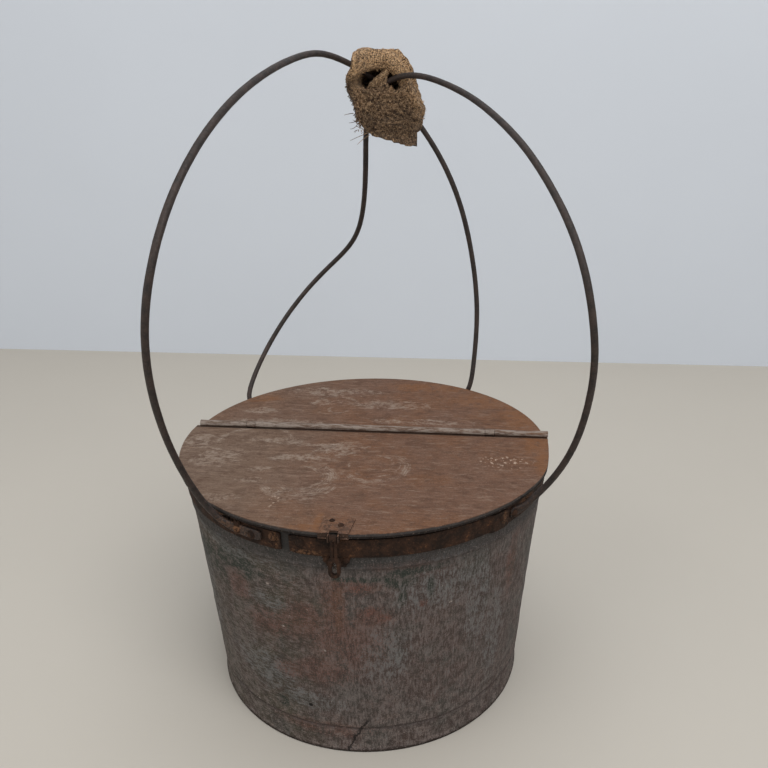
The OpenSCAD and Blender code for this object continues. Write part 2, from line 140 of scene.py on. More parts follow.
# ---- shader helper --------------------------------------------------------------------
class Paint:
    """A Principled material and short calls for the textures that feed it."""

    def __init__(self, name):
        self.material = bpy.data.materials.new(name)
        self.material.use_nodes = True
        self.tree = self.material.node_tree
        self.tree.nodes.clear()
        self.shader = self.tree.nodes.new("ShaderNodeBsdfPrincipled")
        output = self.tree.nodes.new("ShaderNodeOutputMaterial")
        self.tree.links.new(self.shader.outputs[0], output.inputs[0])
        coordinates = self.tree.nodes.new("ShaderNodeTexCoord")
        self.place, self.uv = coordinates.outputs["Object"], coordinates.outputs["UV"]
        self.normal = coordinates.outputs["Normal"]

    def feed(self, socket, value):
        if isinstance(value, bpy.types.NodeSocket):
            self.tree.links.new(value, socket)
        elif isinstance(value, tuple) and len(value) == 3 and socket.type == "RGBA":
            socket.default_value = (*value, 1.0)
        else:
            socket.default_value = value

    def maths(self, operation, a, b=0.0, c=0.0):
        node = self.tree.nodes.new("ShaderNodeMath")
        node.operation = operation
        for socket, value in zip(node.inputs, (a, b, c)):
            self.feed(socket, value)
        return node.outputs[0]

    def plus(self, a, b):
        return self.maths("ADD", a, b)

    def minus(self, a, b):
        return self.maths("SUBTRACT", a, b)

    def times(self, a, b):
        return self.maths("MULTIPLY", a, b)

    def most(self, a, b):
        return self.maths("MAXIMUM", a, b)

    def line(self, value, slope, offset):
        return self.maths("MULTIPLY_ADD", value, slope, offset)

    def blend(self, a, share_a, b, share_b):
        return self.plus(self.times(a, share_a), self.times(b, share_b))

    def split(self, vector=None):
        node = self.tree.nodes.new("ShaderNodeSeparateXYZ")
        self.feed(node.inputs[0], self.place if vector is None else vector)
        return node.outputs

    def scaled(self, scale):
        node = self.tree.nodes.new("ShaderNodeMapping")
        self.feed(node.inputs["Vector"], self.place)
        node.inputs["Scale"].default_value = scale
        return node.outputs[0]

    def noise(self, scale, detail, rough, shift=0.0):
        """scale is one number, or three for a stretched grain, in features a metre."""
        node = self.tree.nodes.new("ShaderNodeTexNoise")
        vector = self.place
        if isinstance(scale, tuple):
            vector, scale = self.scaled(scale), 1.0
        if shift:
            add = self.tree.nodes.new("ShaderNodeVectorMath")
            self.feed(add.inputs[0], vector)
            add.inputs[1].default_value = (shift, shift * 1.7, shift * 0.6)
            vector = add.outputs[0]
        self.feed(node.inputs["Vector"], vector)
        node.inputs["Scale"].default_value = scale
        node.inputs["Detail"].default_value = detail
        node.inputs["Roughness"].default_value = rough
        return node.outputs["Fac"]

    def step(self, value, low, high, to_low=0.0, to_high=1.0):
        """Eases from to_low at low to to_high at high; low may be the larger."""
        node = self.tree.nodes.new("ShaderNodeMapRange")
        node.interpolation_type = "SMOOTHSTEP"
        self.feed(node.inputs["Value"], value)
        if low > high:
            low, high, to_low, to_high = high, low, to_high, to_low
        for key, number in (("From Min", low), ("From Max", high), ("To Min", to_low), ("To Max", to_high)):
            node.inputs[key].default_value = number
        return node.outputs["Result"]

    def mix(self, factor, a, b):
        """Colour a where the factor is 0 and b where it is 1."""
        node = self.tree.nodes.new("ShaderNodeMix")
        node.data_type = "RGBA"
        self.feed(node.inputs["Factor"], factor)
        self.feed(node.inputs[6], a)
        self.feed(node.inputs[7], b)
        return node.outputs[2]

    def tint(self, colour, shade, mask, share):
        """The colour, with this share of the shade over it where the mask is 1."""
        return self.mix(self.times(mask, share), colour, shade)

    def layers(self, colour, *rows):
        """Rows (field, low, high, share, shade): up to that share of the shade as field passes high."""
        for field, low, high, share, shade in rows:
            colour = self.mix(self.step(field, low, high, 0.0, share), colour, shade)
        return colour

    def spot(self, u, v, at, half, wobble, edge):
        """A soft blot at (u, v), with its border moved by the wobble noise."""
        du = self.maths("DIVIDE", self.minus(u, at[0]), half[0])
        dv = self.maths("DIVIDE", self.minus(v, at[1]), half[1])
        square = self.plus(self.times(du, du), self.times(dv, dv))
        moved = self.plus(square, self.line(wobble, 2.6, -1.3))
        return self.step(moved, 1.0 + edge, 1.0 - edge)

    def spots(self, u, v, rows, wobble, edge):
        """The highest mask of many blots, whose rows are (middle, half sizes)."""
        highest = None
        for at, half in rows:
            mask = self.spot(u, v, at, half, wobble, edge)
            highest = mask if highest is None else self.most(highest, mask)
        return highest

    def blots(self, colour, shade, share, uv, rows, wobble, edge, texture):
        """Lays the shade in each blot in turn, broken up by the texture."""
        for at, half in rows:
            mask = self.times(self.spot(*uv, at, half, wobble, edge), texture)
            colour = self.tint(colour, shade, mask, share)
        return colour

    def bump(self, *layers):
        """Layers are (height, strength, distance in metres), stacked one on another."""
        normal = None
        for height, strength, distance in layers:
            node = self.tree.nodes.new("ShaderNodeBump")
            self.feed(node.inputs["Height"], height)
            node.inputs["Strength"].default_value = strength
            node.inputs["Distance"].default_value = distance
            if normal is not None:
                self.feed(node.inputs["Normal"], normal)
            normal = node.outputs[0]
        self.feed(self.shader.inputs["Normal"], normal)

    def finish(self, colour, roughness, metallic=0.0, specular=0.5):
        self.feed(self.shader.inputs["Base Color"], colour)
        self.feed(self.shader.inputs["Roughness"], roughness)
        self.feed(self.shader.inputs["Metallic"], metallic)
        self.shader.inputs["Specular IOR Level"].default_value = specular
        return self.material

    def front_angle(self):
        """Degrees from the front, towards +X, and the height in millimetres."""
        x, y, z = self.split()
        angle = self.maths("ARCTAN2", x, self.times(y, -1.0))
        return self.times(angle, 180 / math.pi), self.times(z, 1000.0)


# ---- materials ------------------------------------------------------------------------
PINK_BROWN = (0.079, 0.055, 0.048)
WARM_GREY = (0.070, 0.060, 0.053)
GREEN_GREY = (0.064, 0.057, 0.040)
PALE_MAUVE = (0.150, 0.122, 0.115)
DARK_BROWN = (0.031, 0.023, 0.021)
CHALK_BLUE = (0.124, 0.134, 0.134)
RUST_RED = (0.115, 0.043, 0.029)
RUST_BROWN = (0.102, 0.050, 0.034)
GREEN_BLACK = (0.021, 0.028, 0.022)
COOL_TINT = (0.060, 0.063, 0.055)
WARM_TINT = (0.098, 0.062, 0.050)
HASP_STAIN = (0.095, 0.042, 0.020)
UNDER_BAND = (0.030, 0.029, 0.028)
BEHIND_BAND_SHADE_AND_GRIME = (0.026, 0.024, 0.023)
WORN_PALE = (0.185, 0.155, 0.140)
EDGE_DIRT_AND_SHADOW = (0.022, 0.015, 0.012)
LIGHT_GRAIN = (0.22, 0.185, 0.17)
DARK_GRAIN = (0.022, 0.017, 0.015)
FLECK = (0.33, 0.29, 0.26)
NICK = (0.30, 0.25, 0.22)
OPENING_SHADE = (0.010, 0.008, 0.007)

# Blots on the wall: degrees from the front, height, half sizes in degrees and millimetres
WALL_RUST = [
    ((-2, 176), (4.5, 44)), ((4, 207), (8, 9)), ((12.8, 230), (6, 5)), ((9, 172), (6, 14)),
    ((-6, 104), (10, 18)), ((-12, 162), (8, 22)), ((-34, 180), (5, 22)), ((20, 228), (5, 5)),
    ((3, 140), (12, 34)), ((-24, 150), (8, 16)), ((-18, 96), (6, 10)), ((-6, 28), (20, 10)),
    ((58, 190), (3, 40)), ((110, 150), (10, 40)), ((-125, 120), (14, 30)), ((165, 190), (12, 30)),
]
WALL_CHALK = [
    ((14, 238), (9, 4)), ((30, 234), (10, 5)), ((43, 170), (5, 60)), ((52, 110), (5, 60)),
    ((-28, 88), (12, 24)), ((-14, 62), (16, 12)), ((12, 128), (8, 34)), ((30, 196), (14, 22)),
    ((-60, 150), (8, 80)), ((-38, 222), (20, 9)), ((80, 150), (8, 80)), ((-150, 90), (20, 50)),
    ((-22, 176), (9, 10)), ((130, 60), (20, 30)),
]
WALL_SMUDGE = [
    ((17, 214), (4.5, 11)), ((17.6, 195), (1.3, 11)), ((26, 200), (1.2, 12)), ((23, 222), (9, 4)),
    ((-34, 206), (10, 12)), ((-22.7, 47), (3, 6)), ((-50, 190), (9, 18)), ((5, 216), (9, 3)),
]
RED_SPOTS = [((23.7, 183), (1.4, 4)), ((12.5, 172), (2, 4)), ((6, 207), (3, 3)), ((8.5, 181), (1.6, 5))]
NICKS = [(at, (0.6, 1.0)) for at in ((32.6, 176.0), (-22.0, 197.0), (-18.5, 150.0))]


def worn_galvanised():
    """Chalky coating worn off pinkish-brown sheet in fine dashes, with rust, smudges, grime and painted
    shade.
    """
    p = Paint("worn_galvanised")
    f, z = p.front_angle()
    cloudy = p.noise(13.0, 4, 0.6)
    blotch = p.noise(34.0, 6, 0.75, shift=3.1)
    mottle = p.noise(120.0, 6, 0.8, shift=1.3)
    upright = p.noise((540.0, 540.0, 95.0), 5, 0.85)
    level = p.noise((110.0, 110.0, 480.0), 5, 0.85)
    speckle = p.noise(760.0, 3, 0.7)
    # the dashes lie level on the left and stand upright on the right
    left = p.step(p.plus(f, p.line(cloudy, 60.0, -30.0)), 2.0, -26.0)
    dashes = p.plus(p.times(level, left), p.times(upright, p.minus(1.0, left)))
    grain = p.blend(dashes, 0.6, mottle, 0.4)
    crumbs = p.blend(mottle, 0.55, speckle, 0.45)

    def broken(share, field, soft=0.04):
        """1 where the field passes the threshold that leaves about this share of the surface."""
        return p.step(p.plus(field, p.line(share, 0.30, -0.65)), -soft, soft)

    def amount(rows, base, extra):
        """How much of a colour there is here: a base, and more inside the blots."""
        return p.line(p.spots(f, z, rows, blotch, 0.95), extra, base)

    colour = p.mix(p.step(blotch, 0.38, 0.62), PINK_BROWN, WARM_GREY)
    colour = p.mix(p.times(left, p.step(blotch, 0.3, 0.6, 0.45, 1.0)), colour, GREEN_GREY)
    rust = amount(WALL_RUST, 0.30, 0.32)
    colour = p.tint(colour, RUST_BROWN, broken(rust, crumbs, 0.035), 0.78)
    hue = p.noise(26.0, 5, 0.75, shift=7.7)
    colour = p.layers(colour, (hue, 0.50, 0.62, 0.6, COOL_TINT), (hue, 0.48, 0.36, 0.45, WARM_TINT))
    colour = p.tint(colour, PALE_MAUVE, broken(p.line(cloudy, 0.5, 0.22), grain), 0.58)
    colour = p.tint(colour, DARK_BROWN, broken(p.line(blotch, -0.6, 0.78), p.minus(1.0, grain)), 0.52)
    colour = p.tint(colour, CHALK_BLUE, broken(amount(WALL_CHALK, 0.22, 0.26), grain), 0.58)
    red = broken(p.minus(rust, 0.22), p.blend(dashes, 0.5, speckle, 0.5))
    colour = p.tint(colour, RUST_RED, red, 0.7)
    below_hasp = [((-0.5, 186), (1.8, 30))]
    colour = p.blots(colour, HASP_STAIN, 0.5, (f, z), below_hasp, blotch, 0.95, p.step(mottle, 0.38, 0.58))
    colour = p.blots(colour, RUST_RED, 0.7, (f, z), RED_SPOTS, mottle, 0.8, p.step(crumbs, 0.42, 0.56))
    colour = p.blots(colour, GREEN_BLACK, 0.9, (f, z), WALL_SMUDGE, mottle, 0.9, p.step(grain, 0.62, 0.44))
    colour = wall_grime_and_shade(p, z, colour, blotch, mottle, crumbs)
    # fine light and dark grains, flecks and nicks
    fleck = p.noise(150.0, 2, 0.5, shift=5.0)
    colour = p.layers(colour, (speckle, 0.56, 0.70, 0.6, LIGHT_GRAIN),
                      (speckle, 0.44, 0.30, 0.65, DARK_GRAIN), (fleck, 0.75, 0.79, 0.6, FLECK))
    colour = p.blots(colour, NICK, 1.0, (f, z), NICKS, mottle, 0.5, p.step(speckle, 0.38, 0.5))
    # painted shade and grime: darkens the wall behind the band, which shows between the strip ends
    colour = p.tint(colour, BEHIND_BAND_SHADE_AND_GRIME, p.step(z, BAND_MM - 1, BAND_MM + 2), 0.85)
    gone = wall_holes(p, f, z, mottle)
    # painted shade: the crack and the holes are made near-black for the dark inside seen through them
    colour = p.mix(gone, colour, OPENING_SHADE)
    p.bump((grain, 0.5, 0.0011), (speckle, 0.35, 0.0005), (blotch, 0.5, 0.0018),
           (p.minus(1.0, gone), 0.8, 0.0015))
    return p.finish(colour, p.step(grain, 0.3, 0.7, 0.90, 0.70), 0.0, 0.2)


def wall_grime_and_shade(p, z, colour, blotch, mottle, crumbs):
    """Dirt below the band, pale wear low down, dirt along the groove, and a dark bottom bead with painted
    contact shadow.
    """
    under = p.step(p.plus(z, p.line(blotch, 16.0, -8.0)), 214.0, 236.0)
    colour = p.tint(colour, UNDER_BAND, under, 0.8)
    worn_low = p.times(p.step(z, 80.0, 20.0), p.step(crumbs, 0.48, 0.60, 0.0, 0.42))
    colour = p.mix(worn_low, colour, WORN_PALE)
    groove = p.times(p.step(z, GROOVE_MM + 3.5, GROOVE_MM), p.step(z, GROOVE_MM - 4.5, GROOVE_MM))
    colour = p.mix(p.times(groove, p.step(mottle, 0.35, 0.6, 0.25, 0.75)), colour, DARK_BROWN)
    # dark bottom bead, with painted contact shadow along the bottom edge
    edge = p.step(p.plus(z, p.line(mottle, 4.0, -2.0)), 5.0, 2.2)
    return p.mix(edge, colour, EDGE_DIRT_AND_SHADOW)


def wall_holes(p, f, z, mottle):
    """The crack that runs down through the skirt, and two rusted-out holes, painted near-black as the shade
    seen through them.
    """
    wander = p.line(p.noise(60.0, 4, 0.7, shift=2.0), 8.0, -4.0)
    off_line = p.maths("ABSOLUTE", p.minus(p.plus(f, wander), p.line(z, 0.165, -0.2)))
    crack = p.times(p.step(off_line, 0.75, 0.25), p.step(z, 46.0, 40.0))
    crack = p.times(crack, p.step(mottle, 0.36, 0.46))
    low_hole = p.spot(f, z, (-11.8, 56.0), (0.7, 2.0), 0.5, 0.2)
    high_hole = p.spot(f, z, (-29.0, 228.0), (0.5, 1.5), 0.5, 0.3)
    return p.most(p.times(crack, 0.85), p.most(low_hole, high_hole))


def dark_rust(name, orange=0.5, lumps=False):
    """Dark brown rust with orange bloom and pits."""
    p = Paint(name)
    bloom = p.noise(85.0, 5, 0.7)
    fine = p.noise(420.0, 4, 0.7)
    pits = p.noise(800.0, 2, 0.6, shift=4.0)
    colour = p.mix(p.step(bloom, 0.36, 0.62), (0.012, 0.0072, 0.0052), (0.034, 0.0165, 0.0098))
    colour = p.layers(colour, (fine, 0.54, 0.72, 0.6, (0.075, 0.034, 0.017)))
    glow = p.times(p.step(bloom, 0.57, 0.70), p.step(fine, 0.42, 0.58))
    colour = p.tint(colour, (0.17, 0.075, 0.033), glow, orange)
    if lumps:
        colour = crusty(p, colour, bloom, fine, 0.45)
    colour = p.layers(colour, (pits, 0.36, 0.28, 0.8, (0.010, 0.007, 0.005)))
    p.bump((bloom, 0.4, 0.001), (fine, 0.6, 0.0007), (pits, 0.4, 0.0003))
    return p.finish(colour, p.step(fine, 0.3, 0.7, 0.94, 0.72), 0.0, 0.16)


# Crusted places on the band and the feet: degrees from the front, height, half sizes
CRUSTS = [((-31, 258), (5, 6)), ((-27, 253), (3, 4)), ((-17.3, 252), (1.5, 9)), ((-8, 245), (4, 2.5)),
          ((48.6, 254), (1.2, 6)), ((60, 256), (4, 5)), ((-40, 259), (4, 3))]
CRUST = (0.19, 0.095, 0.048)


def crusty(p, colour, bloom, fine, strength):
    """Pale orange crust in the places of CRUSTS."""
    return p.blots(colour, CRUST, strength, p.front_angle(), CRUSTS, bloom, 0.7, p.step(fine, 0.42, 0.58))


def rod_steel():
    """Near-black rod with brown rust streaks and rubbed spots, and rust all over near its feet."""
    p = Paint("rod_steel")
    streak = p.noise(120.0, 5, 0.7)
    fine = p.noise(600.0, 4, 0.7)
    rubbed = p.noise(60.0, 4, 0.6, shift=6.0)
    colour = p.mix(p.step(streak, 0.38, 0.60), (0.014, 0.0100, 0.0090), (0.031, 0.020, 0.0165))
    colour = p.layers(colour, (fine, 0.55, 0.72, 0.6, (0.070, 0.040, 0.030)),
                      (rubbed, 0.60, 0.72, 0.5, (0.070, 0.048, 0.039)))
    foot = p.step(p.times(p.split()[2], 1000.0), FOOT_MM + 20, FOOT_MM + 6)
    rust = p.mix(p.step(fine, 0.46, 0.66), (0.014, 0.008, 0.006), (0.050, 0.023, 0.012))
    colour = crusty(p, p.mix(foot, colour, rust), streak, fine, 0.22)
    colour = p.layers(colour, (fine, 0.34, 0.26, 0.8, (0.007, 0.005, 0.005)))
    p.bump((streak, 0.3, 0.0006), (fine, 0.5, 0.0004))
    return p.finish(colour, p.step(fine, 0.3, 0.7, 0.75, 0.5), 0.0, 0.4)


LID_BROWN = (0.134, 0.072, 0.047)
LID_WARM = (0.142, 0.068, 0.037)
LID_DARK = (0.070, 0.037, 0.025)
LID_GREY = (0.138, 0.098, 0.072)
LID_PALE = (0.29, 0.232, 0.188)
LID_RUST = (0.175, 0.076, 0.031)
LID_BARE = (0.085, 0.062, 0.050)
LID_LIP = (0.038, 0.034, 0.033)

# Rubbed arcs on the lid: centre, radius and width in mm, the way they open, how far round they end
LID_ARCS = [
    ((-55, -100), 34, 9, -45, -0.25), ((-55, -100), 24, 3, -20, -0.3), ((-52, -104), 40, 2.5, -70, 0.2),
    ((18, -68), 33, 6, -60, -0.15), ((18, -66), 25, 2.5, -85, -0.3), ((20, -60), 18, 2, 30, -0.3),
    ((-44, 84), 13, 3, 200, -0.6), ((-52, 96), 28, 4, 90, 0.0), ((-15, -38), 24, 5, 160, 0.0),
    ((-120, -20), 40, 5, 100, 0.1),
]
# Scuffed and rusty places on the lid: X and Y, half sizes, all in millimetres
LID_SCUFFS = [
    ((-180, -26), (26, 26)), ((-36, -22), (60, 8)), ((-99, -14), (40, 9)), ((-59, 104), (30, 14)),
    ((-138, 70), (32, 12)), ((-123, -146), (26, 9)), ((-100, -108), (16, 8)), ((-24, -36), (30, 16)),
    ((-60, -56), (40, 12)), ((-110, 40), (60, 10)), ((-150, -60), (34, 30)), ((-96, -84), (14, 8)),
    ((20, 100), (60, 20)), ((-60, 140), (70, 16)), ((60, 50), (70, 10)),
]
LID_RUSTS = [
    ((184, 8), (15, 36)), ((172, 80), (22, 40)), ((130, 124), (40, 24)), ((-17, -178), (4, 10)),
    ((-20, -192), (22, 5)), ((-150, 112), (26, 12)), ((60, 165), (60, 14)), ((190, -50), (10, 30)),
]


def lid_oxide(name, whole=True):
    """Brown oxide, streaked and speckled: the lid's sheets, or without its marks the hasp's plate."""
    p = Paint(name)
    x, y, z = (p.times(c, 1000.0) for c in p.split())
    cloudy = p.noise(14.0, 4, 0.6)
    blotch = p.noise(45.0, 5, 0.65, shift=2.0)
    mottle = p.noise(120.0, 6, 0.8, shift=4.0)
    grain = p.noise((110.0, 560.0, 90.0), 4, 0.8)
    speckle = p.noise(640.0, 3, 0.7)
    streaks = p.noise((42.0, 190.0, 90.0), 5, 0.8, shift=1.1)
    colour = p.mix(p.step(cloudy, 0.40, 0.62), LID_BROWN, LID_WARM)
    greyer = p.step(p.plus(x, p.line(blotch, 120.0, -60.0)), 20.0, -130.0)
    colour = p.mix(p.times(greyer, p.step(y, 50.0, 20.0, 0.35, 0.8)), colour, LID_GREY)
    colour = p.layers(colour, (blotch, 0.50, 0.36, 0.4, LID_DARK), (mottle, 0.49, 0.36, 0.5, LID_DARK),
                      (grain, 0.47, 0.34, 0.55, LID_DARK), (grain, 0.54, 0.68, 0.55, (0.19, 0.135, 0.10)),
                      (streaks, 0.53, 0.66, 0.62, (0.215, 0.150, 0.112)),
                      (streaks, 0.47, 0.35, 0.62, LID_DARK))
    if whole:
        colour = lid_marks(p, x, y, colour, blotch, mottle, grain)
        colour = lid_edges(p, x, y, z, colour, mottle)
    else:
        colour = p.layers(colour, (mottle, 0.52, 0.66, 0.35, LID_RUST),
                          (mottle, 0.54, 0.40, 0.85, (0.046, 0.026, 0.018)))
        # painted shade: faces of the hasp's plate that don't face up are darkened
        painted_side_shade = p.step(p.split(p.normal)[2], 0.7, 0.3)
        colour = p.tint(colour, (0.022, 0.014, 0.011), painted_side_shade, 0.85)
    colour = p.layers(colour, (speckle, 0.58, 0.72, 0.45, (0.27, 0.20, 0.155)),
                      (speckle, 0.42, 0.28, 0.6, (0.045, 0.026, 0.018)))
    p.bump((grain, 0.25, 0.0006), (speckle, 0.3, 0.0004), (mottle, 0.35, 0.0009), (cloudy, 0.5, 0.004))
    return p.finish(colour, p.step(blotch, 0.3, 0.7, 0.92, 0.74), 0.0, 0.16)


def lid_marks(p, x, y, colour, blotch, mottle, grain):
    """Rust, scuffs, arcs and flecks, on the upper face only."""
    bare = p.mix(p.step(mottle, 0.40, 0.60), p.mix(0.55, colour, LID_DARK), LID_BARE)
    colour = p.blots(colour, LID_RUST, 0.6, (x, y), LID_RUSTS, blotch, 0.95, p.step(mottle, 0.34, 0.56))
    patchy = p.blend(mottle, 0.6, grain, 0.4)
    scuffed = p.line(p.spots(x, y, LID_SCUFFS, blotch, 0.95), 0.24, -0.74)
    colour = p.tint(colour, LID_PALE, p.step(p.plus(patchy, scuffed), -0.05, 0.07), 0.6)
    worn_away = p.step(p.noise(70.0, 5, 0.75, shift=9.0), 0.40, 0.56)
    for at, radius, width, facing, reach in LID_ARCS:
        dx, dy = p.minus(x, at[0]), p.minus(y, at[1])
        distance = p.maths("SQRT", p.plus(p.times(dx, dx), p.times(dy, dy)))
        far = p.plus(distance, p.line(blotch, 14.0, -7.0))
        ring = p.step(p.maths("ABSOLUTE", p.minus(far, radius)), width, width * 0.3)
        lines = p.line(p.maths("SINE", p.times(far, 2.3)), 0.35, 0.65)
        way = math.radians(facing)
        towards = p.blend(dx, math.cos(way), dy, math.sin(way))
        side = p.step(towards, radius * (reach - 0.35), radius * (reach + 0.35))
        texture = p.times(lines, p.times(worn_away, p.step(patchy, 0.40, 0.56)))
        colour = p.tint(colour, LID_PALE, p.times(p.times(ring, side), texture), 0.75)
    right_flecks = p.spot(x, y, (150, -48), (24, 14), mottle, 0.9)
    left_flecks = p.times(p.spot(x, y, (-66, -150), (5, 12), blotch, 0.5), 0.7)
    flecks = p.step(p.noise(260.0, 2, 0.5), 0.585, 0.63, 0.0, 0.9)
    colour = p.mix(p.times(p.most(right_flecks, left_flecks), flecks), colour, (0.40, 0.30, 0.23))
    return p.mix(p.step(p.split(p.normal)[2], 0.1, 0.4), bare, colour)


def lid_edges(p, x, y, z, colour, mottle):
    """The curled bead, rubbed pale, with painted shade at its foot, and the grey lip with a painted shadow
    line low down.
    """
    bead = p.step(z, LID_MM + 1.6, LID_MM + 2.4)
    rubbed = p.times(bead, p.step(p.noise((60.0, 400.0, 400.0), 4, 0.75, shift=7.0), 0.42, 0.58))
    colour = p.tint(colour, (0.085, 0.062, 0.05), bead, 0.5)
    colour = p.tint(colour, (0.26, 0.22, 0.19), rubbed, 0.8)
    # painted shade: the flat sheet just in front of the curled bead is darkened, as shadow in the crease at
    # its foot
    near = p.maths("ABSOLUTE", p.minus(y, HINGE_Y * 1000 - 3.6))
    low = p.step(z, LID_MM + 2.0, LID_MM + 0.8)
    colour = p.tint(colour, (0.028, 0.018, 0.014), p.times(p.step(near, 2.4, 0.8), low), 0.8)
    r = p.maths("SQRT", p.plus(p.times(x, x), p.times(y, y)))
    lip = p.times(p.step(r, FLAP_MM - 6.5, FLAP_MM - 5.5), p.step(z, LID_MM - 0.5, LID_MM - 1.1))
    colour = p.mix(p.times(lip, p.step(mottle, 0.30, 0.46, 0.6, 1.0)), colour, LID_LIP)
    # painted shadow: the lowest band of the lip is made near-black, for the shadow gap over the band
    lip_shadow_line = p.times(lip, p.step(z, LID_MM - 2.4, LID_MM - 3.6))
    return p.mix(lip_shadow_line, colour, (0.012, 0.009, 0.008))


def bright_wire():
    """The staple: wire rubbed bright, rusty between."""
    p = Paint("bright_wire")
    worn = p.noise(350.0, 3, 0.6)
    colour = p.mix(p.step(worn, 0.45, 0.6), (0.17, 0.15, 0.14), (0.06, 0.036, 0.025))
    p.bump((worn, 0.3, 0.0002))
    return p.finish(colour, p.step(worn, 0.4, 0.6, 0.35, 0.7), 0.6, 0.5)


THREAD = 2.1 * MM
SACK_BROWN = (0.110, 0.060, 0.032)
SACK_TAN = (0.225, 0.132, 0.070)
SACK_GOLD = (0.60, 0.365, 0.180)


def burlap(name, woven=True):
    """Coarse hessian: crossed threads by UV in metres, frayed into uneven tan fibres, and dirt."""
    p = Paint(name)
    dirt = p.noise(50.0, 5, 0.7)
    fibre = p.noise(620.0, 4, 0.8)
    thick = p.noise(260.0, 3, 0.6, shift=3.0)
    coarse = p.noise(330.0, 4, 0.8, shift=5.5)
    x, z = (p.times(p.split()[axis], 1000.0) for axis in (0, 2))
    wander = p.line(dirt, 24.0, -12.0)
    # golden at the top and down the right side
    top = p.step(p.plus(z, wander), WRAP_Z + 2, WRAP_Z + 26)
    slant = (WRAP.x + WRAP.z * 0.35) * 1000
    right = p.step(p.plus(p.line(z, 0.35, x), wander), slant + 24, slant + 38)
    golden = p.most(top, p.times(right, 0.6))
    colour = p.mix(p.step(dirt, 0.40, 0.60), SACK_BROWN, SACK_TAN)
    colour = p.tint(colour, SACK_GOLD, golden, 0.9)
    colour = p.layers(colour, (coarse, 0.50, 0.60, 0.8, (0.62, 0.43, 0.26)),
                      (coarse, 0.48, 0.40, 0.92, (0.046, 0.022, 0.011)),
                      (fibre, 0.50, 0.62, 0.6, (0.52, 0.35, 0.20)),
                      (fibre, 0.47, 0.36, 0.75, (0.040, 0.021, 0.012)))
    # dirt low down, and a charred left edge
    low = p.step(p.plus(z, wander), WRAP_Z - 6, WRAP_Z - 20)
    colour = p.mix(p.times(low, p.step(thick, 0.40, 0.58, 0.15, 0.65)), colour, (0.050, 0.030, 0.018))
    left = p.step(p.plus(x, wander), WRAP_X - 18, WRAP_X - 30)
    charred = p.times(left, p.step(z, WRAP_Z + 24, WRAP_Z + 12))
    colour = p.tint(colour, (0.024, 0.014, 0.010), charred, 0.75)
    if woven:
        colour = weave(p, colour, fibre, thick)
    else:
        p.bump((fibre, 0.6, 0.0004), (thick, 0.3, 0.0004))
    p.shader.inputs["Sheen Weight"].default_value = 0.1
    p.shader.inputs["Sheen Roughness"].default_value = 0.6
    return p.finish(colour, 0.92, 0.0, 0.1)


def weave(p, colour, fibre, thick):
    """Crossed threads with dark gaps, bent out of line by the thick and thin of the yarn."""
    along, across, _ = p.split(p.uv)
    wobble = p.line(thick, 9.0, -4.5)
    warp = p.maths("SINE", p.line(along, math.pi / THREAD, wobble))
    weft = p.maths("SINE", p.line(across, math.pi / THREAD, p.times(wobble, -0.8)))
    over = p.times(warp, weft)
    top = p.most(p.times(p.maths("ABSOLUTE", warp), p.step(over, -0.3, 0.3, 0.5, 1.0)),
                 p.times(p.maths("ABSOLUTE", weft), p.step(over, 0.3, -0.3, 0.5, 1.0)))
    gap = p.times(p.step(top, 0.80, 0.45), p.step(fibre, 0.60, 0.46, 0.35, 1.0))
    p.bump((top, 1.0, 0.0012), (fibre, 1.0, 0.0010))
    return p.tint(colour, (0.024, 0.013, 0.008), gap, 0.9)


# ---- bucket wall ----------------------------------------------------------------------
# Dents: degrees from the front, height, half sizes in degrees and millimetres, depth
DENTS = [
    (-23, 50, 5, 14, 3.2), (-44, 214, 7, 16, 1.6), (-12, 86, 9, 22, 1.2), (14, 60, 10, 20, 1.0),
    (38, 120, 12, 40, 1.0), (-60, 120, 10, 50, 0.8), (74, 70, 10, 30, 0.8), (120, 150, 16, 40, 2.2),
    (-120, 90, 14, 36, 2.4), (170, 60, 12, 26, 2.0), (24, 206, 6, 10, 0.9), (-2, 24, 3, 10, 1.0),
]


def wall_shift(f, z_mm):
    """How far the sheet has moved outwards from its true cone, in millimetres."""
    calm = smooth(z_mm, 226, 208) * smooth(z_mm, -2, 10)
    p = around(f, 0.185, z_mm * MM)
    shift = calm * (0.8 * fractal(p, 12, 3) + 0.3 * fractal(p, 60, 3) - 0.2)
    for at, height, half_f, half_z, depth in DENTS:
        df = (f - at + 180) % 360 - 180
        q = (df / half_f) ** 2 + ((z_mm - height) / half_z) ** 2
        if q < 9:
            shift -= depth * math.exp(-q) * smooth(z_mm, 228, 215)
    if abs(z_mm - 2) < 3:
        shift += 1.5 * (1 - ((z_mm - 2) / 3) ** 2)
    return shift


def pressed(z_mm):
    """Offsets of the crimped groove and the swaged bead, in millimetres."""
    total = 0.0
    for at, depth in ((GROOVE_MM, -1.5), (SWAGE_MM, 1.2)):
        if abs(z_mm - at) < 2.5:
            total += depth * math.cos((z_mm - at) / 2.5 * math.pi / 2) ** 2
    return total


